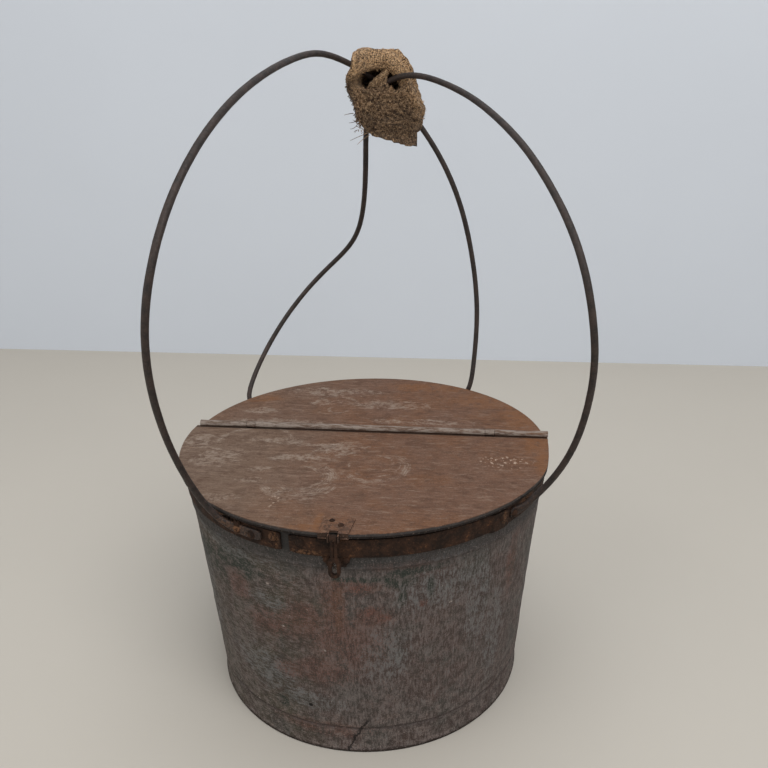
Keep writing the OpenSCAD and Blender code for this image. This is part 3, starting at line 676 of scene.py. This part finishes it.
def bucket_wall(material):
    columns = 420
    height = BODY_H * 1000
    heights = [0.0, 0.8, 2, 3.2, 4.2, height]
    heights += [k * 2.9 for k in range(2, 93) if k * 2.9 < height - 1]
    heights += [at + k * 0.8 for at in (GROOVE_MM, SWAGE_MM) for k in range(-4, 5)]
    heights = sorted(set(heights))
    hem = 2 * SHEET
    rows = [(h, 0.0) for h in heights]
    rows += [(height, hem), (height - 6.2, hem), (height - 6.4, SHEET)]
    rows += [(h, SHEET) for h in reversed(heights[::3]) if 10 < h < height - 8]
    rows += [(8.2, SHEET), (8.0, hem), (0.0, hem)]
    shifts = {}
    rings = []
    for c in range(columns):
        f = c * 360 / columns
        ring = []
        for h, inset in rows:
            key = (c, h)
            if key not in shifts:
                shifts[key] = (wall_shift(f, h) + pressed(h)) * MM
            ring.append(around(f, wall_r(h * MM) + shifts[key] - inset, h * MM))
        rings.append(ring)
    piece = loft("bucket_shell", rings, closed_path=True, smooth_angle=50)
    return place(piece, "bucket", "galvanised", material, "bucket_wall")


# ---- lid sheets -----------------------------------------------------------------------
def finer_copy(node, name, step):
    """A copy of a CAD node's mesh, cut by planes across X and Y so that it can be bent."""
    bm = bmesh.new()
    bm.from_mesh(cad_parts[node].data)
    bmesh.ops.remove_doubles(bm, verts=bm.verts, dist=1e-6)
    low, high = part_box(node)
    for axis in (0, 1):
        normal = Vector((0, 0, 0))
        normal[axis] = 1.0
        for k in range(1, int((high[axis] - low[axis]) / step) + 1):
            at = Vector((0, 0, 0))
            at[axis] = low[axis] + k * step - 0.00037
            bmesh.ops.bisect_plane(bm, geom=bm.verts[:] + bm.edges[:] + bm.faces[:], dist=1e-7,
                                   plane_co=at, plane_no=normal)
    mesh = bpy.data.meshes.new(name)
    bm.to_mesh(mesh)
    bm.free()
    piece = bpy.data.objects.new(name, mesh)
    bpy.context.scene.collection.objects.link(piece)
    return piece


def bend(piece, shift):
    """Moves each point by what shift gives for it, and shades the sheet smooth again."""
    for v in piece.data.vertices:
        v.co += shift(v.co)
    mesh = piece.data
    mesh.polygons.foreach_set("use_smooth", [True] * len(mesh.polygons))
    mesh.set_sharp_from_angle(angle=math.radians(35))


def buckle(co):
    """Gentle waves in the flat sheet, none at the rim, the hinge and the hasp."""
    r = math.hypot(co.x, co.y)
    calm = smooth(r, 0.19, 0.165) * smooth(abs(co.y - HINGE_Y), 0.006, 0.03)
    calm *= smooth(math.hypot(co.x, co.y + FLAP_R), 0.025, 0.05)
    wave = 1.1 * fractal(Vector((co.x, co.y, 0.3)), 13, 2)
    wave += 0.25 * fractal(Vector((co.x, co.y, 0.8)), 50, 2)
    return Vector((0, 0, wave * calm * MM))


def worn_rim(co):
    """Knocks in the lip and the curled bead, and the flattened right edge."""
    r = math.hypot(co.x, co.y)
    azimuth = math.degrees(math.atan2(co.y, co.x))
    knock = -3.3 * math.exp(-((azimuth + 4) / 11) ** 2) * smooth(r, FLAP_R - 0.04, FLAP_R)
    knock *= smooth(co.z, LID_TOP + 1.5 * MM, LID_TOP + 0.5 * MM)
    if r > FLAP_R - 3 * MM and co.y < HINGE_Y - 0.012:
        knock += 0.35 * fractal(Vector((co.x, co.y, 1.5)), 45, 3) * smooth(abs(co.x), 0.02, 0.03)
    squash = 0.0
    if co.z > LID_TOP + 1 * MM and co.y > HINGE_Y - 0.01:
        squash = 0.3 * fractal(Vector((co.x, 0, 2.0)), 40, 3)
    direction = Vector((co.x, co.y, 0)).normalized()
    return direction * knock * MM + Vector((0, 0, squash * MM))


def lid_flap(material):
    piece = finer_copy("lid_flap", "lid_flap_sheet", 0.009)
    bend(piece, lambda co: buckle(co) + worn_rim(co))
    return place(piece, "lid", "lid_paint", material, "lid_flap")


def back_plate(material):
    piece = finer_copy("back_plate", "back_plate_sheet", 0.009)
    bend(piece, buckle)
    return place(piece, "bucket", "lid_paint", material, "back_plate")


# ---- band and rods --------------------------------------------------------------------
def bar_section(half_h, half_t, corner):
    """(out, up) points round a flat bar with eased edges, in millimetres."""
    points = []
    for sign_t, sign_h, start in ((1, -1, -90), (1, 1, 0), (-1, 1, 90), (-1, -1, 180)):
        for k in range(4):
            a = math.radians(start + k * 30)
            points.append((sign_t * (half_t - corner) + corner * math.cos(a),
                           sign_h * (half_h - corner) + corner * math.sin(a)))
        if sign_t * sign_h < 0:
            for k in range(1, 8):
                up = sign_h * (half_h - corner) * (1 - k / 4)
                points.append((sign_t * half_t, up))
    return points


def band_strip(name, f0, f1, lift, material, node):
    """A rusted strip round the wall. lift(f) is its inner face's offset in millimetres."""
    half_h = (BAND_TOP - BAND_BOTTOM) / 2 / MM
    middle = (BAND_TOP + BAND_BOTTOM) / 2 / MM
    section = bar_section(half_h, BAND_T / 2 / MM, 0.5)
    count = int((f1 - f0) / 0.5)
    rings = []
    for i in range(count + 1):
        f = f0 + (f1 - f0) * i / count
        end = 1 - 0.12 * (1 - smooth(min(i, count - i), 0, 3))
        ring = []
        for out, up in section:
            z = middle + up * end
            p = around(f, 0.195, z * MM)
            out_face = 1.0 if out > 0 else 0.0
            rough = out_face * (0.16 * fractal(p, 260, 3) + 0.12 * fractal(p, 40, 2))
            edge = 0.35 * fractal(p, 70, 3) * (1 if abs(up) > half_h - 1 else 0)
            r = wall_r(z * MM) + (lift(f) + BAND_T / 2 / MM + out * end + rough) * MM
            ring.append(around(f, r, (z + edge) * MM))
        rings.append(ring)
    piece = loft(name, rings, smooth_angle=60)
    return place(piece, "bucket", "rusty_steel", material, node)


def straps(material):
    gap = SEAT_GAP / MM
    lap = 2 * gap + BAND_T / MM

    def front_lift(f):
        return gap + (lap - gap) * smooth(f, 43.0, 44.6)

    band_strip("front_band", -12.6, 50.5, front_lift, material, "front_strap")
    band_strip("rear_band", 45.0, 344.8, lambda f: gap, material, "rear_strap")


# Routes of the two rods, as the CAD source has them: azimuth counter-clockwise from +X,
# distance out from a rod lying on the band, and height above the feet
LEFT_ROUTE = [
    (-118, 0, 0), (-127, 3, 2), (-123, 47, 81), (-116, 88, 176), (-111, 99, 253),
    (-113, 46, 319), (-114, -20, 367), (-125, -96, 390), (-155, -139, 400), (148, -151, 410),
    (103, -114, 400), (85, -69, 379), (72, -41, 339), (61, -15, 272), (59, 14, 191),
    (57, 21, 114), (57, 13, 50), (56, 1, 2), (64, 0, 0),
]
RIGHT_ROUTE = [
    (-39, 0, 0), (-31, 3, 2), (-33, 47, 63), (-35, 64, 138), (-41, 78, 190),
    (-41, 60, 258), (-37, 7, 311), (-30, -32, 335), (-11, -81, 360), (30, -99, 376),
    (70, -93, 395), (95, -84, 371), (95, -68, 304), (97, -30, 236), (101, 16, 189),
    (112, 47, 149), (127, 47, 82), (141, 34, 6), (145, 1, 1), (137, 0, 0),
]
FOOT_OFFSET = BAND_T + 2 * SEAT_GAP
SEAT_R = wall_r(FOOT_Z) + FOOT_OFFSET + ROD_R + 0.8 * MM
FOOT_T = 3 * MM


def spline(route, per_step=9):
    """Uniform cubic B-spline through the route's ends, without its first and last half steps."""
    points = []
    for azimuth, out, up in route:
        a, r = math.radians(azimuth), SEAT_R + out * MM
        points.append(Vector((r * math.cos(a), r * math.sin(a), FOOT_Z + up * MM)))
    ends = [2 * points[0] - points[1], *points, 2 * points[-1] - points[-2]]
    path = []
    for k in range(per_step // 2, (len(points) - 1) * per_step - per_step // 2 + 1):
        i = min(k // per_step, len(points) - 2)
        t = k / per_step - i
        weights = ((1 - t) ** 3, 3 * t ** 3 - 6 * t * t + 4,
                   -3 * t ** 3 + 3 * t * t + 3 * t + 1, t ** 3)
        path.append(sum((w / 6 * ends[i + j] for j, w in enumerate(weights)), Vector((0, 0, 0))))
    return path


def foot_path(tip, towards, step=0.5):
    """Points along a flattened foot, from its tip to where the round rod starts."""
    count = max(2, int(abs(towards - tip) / step))
    path = []
    for k in range(count + 1):
        a = math.radians(tip + (towards - tip) * k / count)
        r = wall_r(FOOT_Z) + FOOT_OFFSET + FOOT_T / 2 + 0.1 * MM
        path.append(Vector((r * math.cos(a), r * math.sin(a), FOOT_Z - 1 * MM)))
    return path


def smoothed(values):
    """The values with five passes of a 1-2-1 average, ends kept."""
    for _ in range(5):
        inner = [(a + 2 * b + c) / 4 for a, b, c in zip(values, values[1:], values[2:])]
        values = [values[0], *inner, values[-1]]
    return values


def rod(name, route, tips, starts, material, node):
    """A bent round rod with a flattened foot at each end; flat is 1 on a foot and 0 on the rod."""
    first, last = foot_path(tips[0], starts[0]), foot_path(tips[1], starts[1])
    middle = spline(route)
    path = smoothed(first + middle + last[::-1])
    flat = smoothed([1.0] * len(first) + [0.0] * len(middle) + [1.0] * len(last))
    side = Vector((0, 0, 1))
    rings = []
    sides = 24
    for i, p in enumerate(path):
        heading = (path[min(i + 1, len(path) - 1)] - path[max(i - 1, 0)]).normalized()
        up = Vector((0, 0, 1)) if flat[i] > 0.3 else side
        side = (up - up.dot(heading) * heading).normalized()
        out = heading.cross(side)
        w = flat[i]
        tip = 1 - 0.35 * (1 - smooth(min(i, len(path) - 1 - i), 0, 3))
        half_up = (ROD_R * (1 - w) + 5 * MM * w) * tip
        half_out = ROD_R * (1 - w) + FOOT_T / 2 * w
        ring = []
        for k in range(sides):
            a = 2 * math.pi * k / sides
            c, s = math.cos(a), math.sin(a)
            power = 1 - 0.55 * w
            q = side * half_up * math.copysign(abs(c) ** power, c)
            q = q + out * half_out * math.copysign(abs(s) ** power, s)
            q *= 1 + 0.035 * fractal(p + q, 170, 3) + 0.02 * fractal(p + q, 30, 2)
            ring.append(p + q)
        rings.append(ring)
    piece = loft(name, rings, smooth_angle=60)
    return place(piece, "bucket", "dark_wire", material, node)


def rods(material):
    rod("left_rod", LEFT_ROUTE, (-110.5, 70.0), (-120.5, 61.5), material, "handle_rod_left")
    rod("right_rod", RIGHT_ROUTE, (-39.0, 128.6), (-35.6, 139.5), material, "handle_rod_right")


def rust_crust(material):
    """Flaking lumps of rust on the band round the feet and the strip ends."""
    rng = random.Random(7)
    # degrees from the front, height and size in millimetres
    spots = [(-33.0, 258, 5.0), (-30.5, 256, 4.5), (-28.5, 259, 4.0), (-31.5, 252, 3.5), (-17.6, 256, 3.6),
             (-17.8, 250, 3.8), (-17.3, 246, 2.6), (-25.5, 254, 3.0), (49.0, 257, 2.6), (47.2, 251, 2.4),
             (-10.5, 247, 2.4), (-7.5, 246, 2.0), (60.8, 251, 2.6)]
    points, faces = [], []
    for f, z, size in spots:
        bm = bmesh.new()
        bmesh.ops.create_icosphere(bm, subdivisions=4, radius=1.0)
        turn = Matrix.Rotation(math.radians(f), 3, "Z")
        seed = rng.random() * 10
        lift = (4.4 if -40 < f < -22 or f > 50 else 1.9) * MM
        centre = around(f, wall_r(z * MM) + lift, z * MM)
        start = len(points)
        for v in bm.verts:
            lumpy = 1 + 0.42 * noise.fractal(v.co * 1.6 + Vector((seed, 0, 0)), 1.0, 2.0, 4)
            q = Vector((v.co.x * size, v.co.y * size * 0.42, v.co.z * size * 0.85)) * lumpy * MM
            points.append(centre + turn @ q)
        faces += [tuple(start + v.index for v in face.verts) for face in bm.faces]
        bm.free()
    piece = new_piece("rust_crust", points, faces, 70)
    return place(piece, "bucket", "rusty_steel", material)


# ---- burlap ---------------------------------------------------------------------------
# Outline of the wrap seen from the front, in millimetres from its middle
OUTLINE = [(44, -20), (45, -12), (41, -4), (37, 5), (34, 13), (31, 22), (25, 30), (21, 38), (15, 45),
           (4, 46), (-8, 46), (-18, 47), (-24, 43), (-24, 35), (-27, 27), (-31, 20), (-33, 12), (-30, 2),
           (-26, -8), (-25, -22), (-17, -31), (-6, -36), (8, -38), (24, -39), (37, -36), (41, -29)]
MOUTH = (1, 15)           # middle of the opening that faces the front
MOUTH_HALF = (25, 12.5)
SLANT = 0.26              # how much nearer the left side is, per millimetre along X


def outline_at(t):
    """A point on the wrap's outline, t from 0 to 1, rounded by averaging."""
    n = len(OUTLINE)
    total = Vector((0, 0))
    for shift in (-0.3, 0.0, 0.3):
        s = (t * n + shift) % n
        i, w = int(s), s - int(s)
        a, b = OUTLINE[i], OUTLINE[(i + 1) % n]
        total += Vector((a[0] * (1 - w) + b[0] * w, a[1] * (1 - w) + b[1] * w)) / 3
    return total


def mouth_point(a):
    """A point on the edge of the opening, as (X, Z) from the wrap's middle."""
    return MOUTH[0] + MOUTH_HALF[0] * math.cos(a), MOUTH[1] + MOUTH_HALF[1] * math.sin(a)


def crumple(p, amount):
    """Folds and small creases of a stiff cloth, as a shift in millimetres."""
    q = p * MM
    folds = noise.fractal(q * 55 + Vector((3, 1, 7)), 1.0, 2.0, 3)
    creases = 1 - 2 * abs(noise.noise(q * 130 + Vector((9, 2, 4))))
    return amount * (1.6 * folds + 0.5 * creases)


def cloth_grid(name, rows, uvs, closed_rows):
    """A sheet from rows of points in millimetres from the wrap's middle, with UVs in metres."""
    count, width = len(rows), len(rows[0])
    points = [WRAP + p * MM for row in rows for p in row]
    faces, corners = [], []
    for i in range(count - 1):
        for k in range(width if closed_rows else width - 1):
            k1 = (k + 1) % width
            faces.append((i * width + k, i * width + k1, (i + 1) * width + k1, (i + 1) * width + k))
            u1 = uvs[i][k + 1] if k + 1 < len(uvs[i]) else uvs[i][k]
            u2 = uvs[i + 1][k + 1] if k + 1 < len(uvs[i + 1]) else uvs[i + 1][k]
            corners += [uvs[i][k], u1, u2, uvs[i + 1][k]]
    piece = new_piece(name, points, faces, 80)
    layer = piece.data.uv_layers.new(name="weave")
    for item, uv in zip(layer.data, corners):
        item.uv = uv
    return piece


def hood(x, z):
    """How far the upper left corner bulges over the rod that enters there."""
    return 15 * math.exp(-((x + 25) / 15) ** 2 - ((z - 31) / 17) ** 2)


def front_shift(x, z):
    """How far the front layers stand in depth at a place seen from the front."""
    return SLANT * x - 3 - hood(x, z)


def bag_rows():
    """The outer layer: back, sides, front face and the rolled edge that turns into the opening."""
    steps = 150
    rows, uvs = [], []
    # each row: share of the outline, share of the mouth, depth (front is negative)
    course = [(0.25, 0, 15), (0.5, 0, 18), (0.75, 0, 19), (0.92, 0, 17), (1.0, 0, 11), (1.02, 0, 4),
              (1.02, 0, -4), (1.0, 0, -11), (0.97, 0, -17), (0.92, 0.04, -20.5), (0.82, 0.16, -22.5),
              (0.68, 0.36, -23.5), (0.48, 0.62, -24), (0.22, 0.88, -23.5), (0.05, 1.0, -22), (0, 1.0, -18),
              (0, 0.97, -13), (0, 0.93, -8), (0, 0.88, 0), (0, 0.78, 7), (0, 0.5, 12), (0, 0.2, 14)]
    fine = []
    for a, b in zip(course, course[1:]):
        for s in (0.0, 0.33, 0.67):
            fine.append(tuple(x * (1 - s) + y * s for x, y in zip(a, b)))
    fine.append(course[-1])
    along = 0.0
    for j, (share, mouth, depth) in enumerate(fine):
        row, uv = [], []
        for k in range(steps + 1):
            t = k / steps
            edge = outline_at(t)
            a = math.atan2((edge.y - MOUTH[1]) / MOUTH_HALF[1], (edge.x - MOUTH[0]) / MOUTH_HALF[0])
            opening = Vector(mouth_point(a))
            if mouth == 0:
                flat = edge * share
            elif share > 0:
                flat = (edge * share * (1 - mouth) + opening * mouth) / (share * (1 - mouth) + mouth)
            else:
                flat = Vector(MOUTH) + (opening - Vector(MOUTH)) * mouth
            front = smooth(depth, 16, -14)
            p = Vector((flat.x, depth + front * front_shift(flat.x, flat.y), flat.y))
            low_front = smooth(-flat.y, -6, 16) * smooth(mouth, 0.9, 0.3) * smooth(depth, -8, -16)
            p += Vector((flat.x, depth * 0.7, flat.y)).normalized() * crumple(p, 1.5)
            ripple = math.sin(flat.y * 0.42 + flat.x * 0.09 + 3.0 * noise.noise(p * 0.05))
            p.y -= 1.8 * low_front * ripple
            if k < steps:
                row.append(p)
            uv.append((t * 0.235, along))
        rows.append(row)
        uvs.append(uv)
        if j + 1 < len(fine):
            ahead = fine[j + 1]
            along += math.hypot((ahead[0] - share) * 40 + (ahead[1] - mouth) * 25, ahead[2] - depth) * MM
    return rows, uvs


def strip_rows(line, halves, depth_bulge, steps=18):
    """A strip of cloth along a line of (x, depth, z) points, with a half width at each."""
    rows, uvs = [], []
    line = [Vector(point) for point in line]
    n = len(line)
    fine = 6
    along = 0.0
    last, previous = None, line[0]
    for j in range((n - 1) * fine + 1):
        i, t = min(j // fine, n - 2), j / fine - min(j // fine, n - 2)
        t = t * t * (3 - 2 * t) * 0.5 + t * 0.5
        centre = line[i].lerp(line[i + 1], t)
        half = halves[i] * (1 - t) + halves[i + 1] * t
        ahead = (line[min(i + 1, n - 1)] - line[i]).normalized()
        across = Vector((ahead.z, 0, -ahead.x))
        across = across.normalized() if across.length > 0.1 else Vector((1, 0, 0))
        if last is not None:
            across = (across + 2 * last).normalized()
            along += (centre - previous).length * MM
        last, previous = across, centre
        row, uv = [], []
        for k in range(steps + 1):
            s = 2 * k / steps - 1
            p = centre + across * half * s + Vector((0, depth_bulge * s * s, 0))
            p.y += front_shift(p.x, p.z) * smooth(p.y, 10, -14)
            p += Vector((0, -1, 0)) * crumple(p, 0.8)
            if abs(s) > 0.8:
                p += across * 1.4 * noise.noise(p * 0.45)
            row.append(p)
            uv.append((half * s * MM, along))
        rows.append(row)
        uvs.append(uv)
    return rows, uvs


def burlap_cloth(material):
    """Outer bag, the tongue that parts its opening in two, the folded top band, the hanging flap."""
    rows, uvs = bag_rows()
    bag = cloth_grid("burlap_cloth", rows, uvs, True)
    # each layer: points (x, depth, z) of its middle line, half widths, how its edges turn back
    layers = [
        # tongue: behind the lower rim of the opening and up to its upper rim, between the two holes
        ([(0, -12, -6), (0, -16, 3), (-0.5, -19, 10), (1, -20, 16),
          (4.5, -21, 21), (8, -22, 26), (9, -22, 33)], (20, 18, 12.5, 7, 4, 3.2, 5), 4),
        # band folded over the top, down the right side
        ([(-19, -19, 37), (-6, -25, 38), (8, -26, 36), (20, -25, 26),
          (28, -22, 10), (34, -19, -6), (36, -10, -18)], (7, 8.5, 8.5, 6.5, 6, 6, 4), 5),
        # frayed layer that shows behind it at the upper right
        ([(6, -8, 42), (17, -11, 42), (26, -11, 32), (33, -10, 17),
          (37, -6, 2), (34, 0, -10)], (3, 5, 5, 4.5, 4, 3), 3),
        # hanging flap at the bottom, with its corner at the right
        ([(-14, -12, -31), (-4, -21, -34), (10, -25, -36), (24, -24, -38.5),
          (32, -22, -40), (39, -18, -40)], (4, 5.5, 7.5, 9.5, 10.5, 10.5), -2),
        # the fold just above it
        ([(-21, -8, -20), (-8, -23, -25), (10, -26, -27), (28, -23, -25),
          (38, -8, -22)], (5, 6, 7, 8, 6), 5),
        # a fold round the back
        ([(-24, 8, 18), (-16, 19, 11), (2, 23, 4), (22, 19, -3),
          (32, 8, -8)], (10, 15, 18, 16, 10), -6),
    ]
    pieces = [bag]
    for i, (line, halves, bulge) in enumerate(layers):
        rows, uvs = strip_rows(line, halves, bulge)
        pieces.append(cloth_grid(f"layer_{i}", rows, uvs, False))
    with bpy.context.temp_override(active_object=bag, selected_editable_objects=pieces):
        bpy.ops.object.join()
    thick = bag.modifiers.new("thickness", "SOLIDIFY")
    thick.thickness, thick.offset = 1.1 * MM, 0.0
    place(bag, "bucket", "burlap", material, "burlap_wrap")
    return bag


def thread_tube(points, faces, path, radius, sides=5):
    """Adds a tube along the path that tapers to half its radius."""
    start = len(points)
    turns = [2 * math.pi * k / sides for k in range(sides)]
    for i, p in enumerate(path):
        heading = (path[min(i + 1, len(path) - 1)] - path[max(i - 1, 0)]).normalized()
        side = heading.orthogonal().normalized()
        other = heading.cross(side)
        r = radius * (1 - 0.5 * i / (len(path) - 1))
        points += [p + r * (math.cos(a) * side + math.sin(a) * other) for a in turns]
    faces += loft_faces(len(path), sides, start=start)


def burlap_threads(material):
    """Frayed ends and loose loops along the wrap's edges."""
    draw = random.Random(21).uniform
    points, faces = [], []

    def stray(at, way, length, curl, radius):
        """A loose thread from a place near the wrap, which curls as it goes."""
        p, heading = WRAP + at * MM, way.normalized()
        path = [p]
        bend_axis = Vector((draw(-1, 1), draw(-1, 1), draw(-1, 1))).normalized()
        for _ in range(7):
            heading = heading + bend_axis * curl * draw(0.3, 1.0) + Vector((0, 0, -0.03))
            heading.normalize()
            p = p + heading * length / 7 * MM
            path.append(p)
        thread_tube(points, faces, path, radius * MM)

    def at_edge(t, inwards, y_low, y_high):
        """A place on the wrap's outline, at a random depth."""
        edge = outline_at(t)
        y = draw(y_low, y_high)
        y += front_shift(edge.x, edge.y) * smooth(y, 10, -14)
        return Vector((edge.x * inwards, y, edge.y * inwards))

    for _ in range(330):                     # dark fringe down the left edge
        at = at_edge(draw(0.55, 0.76), 0.97, -20, 4)
        way = Vector((-1, draw(-0.5, 0.2), draw(-0.7, 0.5)))
        stray(at, way, draw(1.8, 4.8), 0.25, 0.55)
    for _ in range(90):                      # fringe on the upper right fold
        at = at_edge(draw(0.14, 0.36), 1.0, -18, 0)
        stray(at, Vector((1, draw(-0.4, 0.2), 0.7)), draw(1.6, 4), 0.25, 0.4)
    for _ in range(80):                      # right edge by the flap
        at = at_edge(draw(0.96, 1.12), 0.98, -18, 0)
        stray(at, Vector((1, -0.3, draw(-0.4, 0.6))), draw(2.5, 6.0), 0.35, 0.36)
    for _ in range(620):                     # loops and fuzz standing off the lower front
        x, z = draw(-24, 40), draw(-36, 4)
        at = Vector((x, -25 + front_shift(x, z) - draw(0, 2.5), z))
        stray(at, Vector((draw(-1, 1), -0.35, draw(-1, 1))), draw(2.5, 5.5), 0.75, 0.36)
    for _ in range(90):                      # pale loops along the lower rim of the opening
        x = draw(-18, 14)
        z = 3.5 + 0.012 * x * x + draw(-3, 2)
        at = Vector((x, -24 + front_shift(x, z), z))
        stray(at, Vector((draw(-0.3, 1), -0.5, draw(-0.4, 1))), draw(3, 7), 0.7, 0.42)
    for _ in range(60):                      # broken ends round the openings
        a = draw(0, 2 * math.pi)
        x, z = mouth_point(a)
        at = Vector((x, -22 + front_shift(x, z), z))
        stray(at, Vector((-math.cos(a), -0.3, -math.sin(a))), draw(1.5, 4), 0.4, 0.34)
    for x, z, way, length, curl in (
            (-26, -16, (-1, -0.2, 0.0), 10, 0.05), (-23, -28, (-0.6, -0.2, -0.9), 9, 0.35),
            (-12, -36, (-1, -0.1, -0.35), 20, 0.04), (-10, -38, (-1, -0.3, -0.5), 17, 0.08),
            (-24, -24, (-1, -0.3, -0.5), 8, 0.3), (-20, -2, (0.6, -0.6, 0.5), 13, 0.55),
            (-18, -6, (0.9, -0.4, 0.6), 15, 0.5), (-10, 0, (0.5, -0.5, 0.6), 12, 0.6),
            (-16, -4, (0.8, -0.5, 0.9), 12, 0.5), (0, -28, (1, -0.2, 0.1), 24, 0.08),
            (12, -27, (1, -0.2, 0.15), 20, 0.1), (34, -12, (0.2, -0.4, 1), 14, 0.2),
            (38, -16, (0.6, -0.3, -0.8), 12, 0.35), (20, -38, (0.2, -0.3, 1), 9, 0.25),
            (30, -8, (0.8, -0.4, -0.5), 10, 0.4), (24, 2, (0.7, -0.3, 0.7), 10, 0.4)):
        stray(Vector((x, -27 + front_shift(x, z), z)), Vector(way), length, curl, 0.42)
    piece = new_piece("burlap_threads", points, faces, 80)
    return place(piece, "bucket", "burlap", material)


# ---- stage, light and camera ----------------------------------------------------------
def plain(name, colour):
    """Softly uneven matt paint for the floor and the backdrop."""
    p = Paint(name)
    soft = p.noise(3.0, 3, 0.5)
    shade = tuple(c * 0.96 for c in colour)
    return p.finish(p.mix(soft, colour, shade), 0.9, 0.0, 0.2)


def stage():
    far, wide = 1.1, 6
    corners = [(-wide, -wide, 0), (wide, -wide, 0), (wide, far, 0), (-wide, far, 0)]
    floor = new_piece("floor", corners, [(0, 1, 2, 3)])
    floor.data.materials.append(plain("floor_grey", (0.50, 0.47, 0.42)))
    corners = [(-wide, far, 0), (wide, far, 0), (wide, far, 5), (-wide, far, 5)]
    backdrop = new_piece("backdrop", corners, [(0, 1, 2, 3)])
    backdrop.data.materials.append(plain("backdrop_grey", (0.60, 0.64, 0.70)))


def area_light(name, at, aim, size, power):
    data = bpy.data.lights.new(name, "AREA")
    data.size, data.energy = size, power
    lamp = bpy.data.objects.new(name, data)
    lamp.location = at
    lamp.rotation_euler = (Vector(aim) - Vector(at)).to_track_quat("-Z", "Y").to_euler()
    bpy.context.scene.collection.objects.link(lamp)


def lighting():
    world = bpy.data.worlds.new("studio")
    world.use_nodes = True
    background = world.node_tree.nodes["Background"]
    background.inputs[0].default_value = (1.0, 0.98, 0.95, 1)
    background.inputs[1].default_value = 0.55
    bpy.context.scene.world = world
    middle = (0, 0, 0.25)
    area_light("key", (1.3, -1.7, 2.3), middle, 1.8, 42)
    area_light("fill", (-1.9, -1.6, 1.4), middle, 2.0, 18)
    area_light("top", (0.1, 0.1, 2.8), middle, 2.2, 22)


def camera():
    """The viewpoint: its place, pan, tilt, roll and lens."""
    pan, tilt, roll = math.radians(7.09), math.radians(20.13), math.radians(0.89)
    look = Vector((-math.sin(pan) * math.cos(tilt), math.cos(pan) * math.cos(tilt), -math.sin(tilt)))
    right = Vector((math.cos(pan), math.sin(pan), 0))
    down = look.cross(right)
    across = math.cos(roll) * right + math.sin(roll) * down
    up = math.sin(roll) * right - math.cos(roll) * down
    data = bpy.data.cameras.new("camera")
    data.sensor_width, data.lens = 36.0, 36.09
    cam = bpy.data.objects.new("camera", data)
    cam.matrix_world = Matrix.Translation((0.1161, -0.7663, 0.6170)) @ Matrix(
        (across, up, -look)).transposed().to_4x4()
    bpy.context.scene.collection.objects.link(cam)
    bpy.context.scene.camera = cam


# ---- build ----------------------------------------------------------------------------
camera()
lighting()
stage()
bpy.context.scene.view_settings.view_transform = "Standard"

galvanised = worn_galvanised()
oxide = lid_oxide("lid_oxide")
hasp_oxide = lid_oxide("hasp_oxide", whole=False)
band_rust = dark_rust("band_rust", lumps=True)
crust_rust = dark_rust("crust_rust", 0.6)
wire_rust = dark_rust("wire_rust", 0.35)
rod_paint = rod_steel()
hessian = burlap("burlap_weave")
loose = burlap("burlap_thread", woven=False)

bucket_wall(galvanised)
lid_flap(oxide)
back_plate(oxide)
straps(band_rust)
rods(rod_paint)
rust_crust(crust_rust)
cloth = burlap_cloth(hessian)
threads = burlap_threads(loose)

CAD_FINISH = {
    "bottom_plate": galvanised, "strap_rivets": band_rust, "left_foot_rivets": band_rust,
    "right_foot_rivets": band_rust, "staple_plate": wire_rust, "staple_plate_rivets": wire_rust,
    "hinge_wire": wire_rust, "hasp_plate": hasp_oxide, "hasp_rivets": band_rust, "hasp_pin": wire_rust,
    "hasp_loop": wire_rust, "staple": bright_wire(),
}
for node, material in CAD_FINISH.items():
    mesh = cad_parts[node].data
    mesh.materials.clear()
    mesh.materials.append(material)
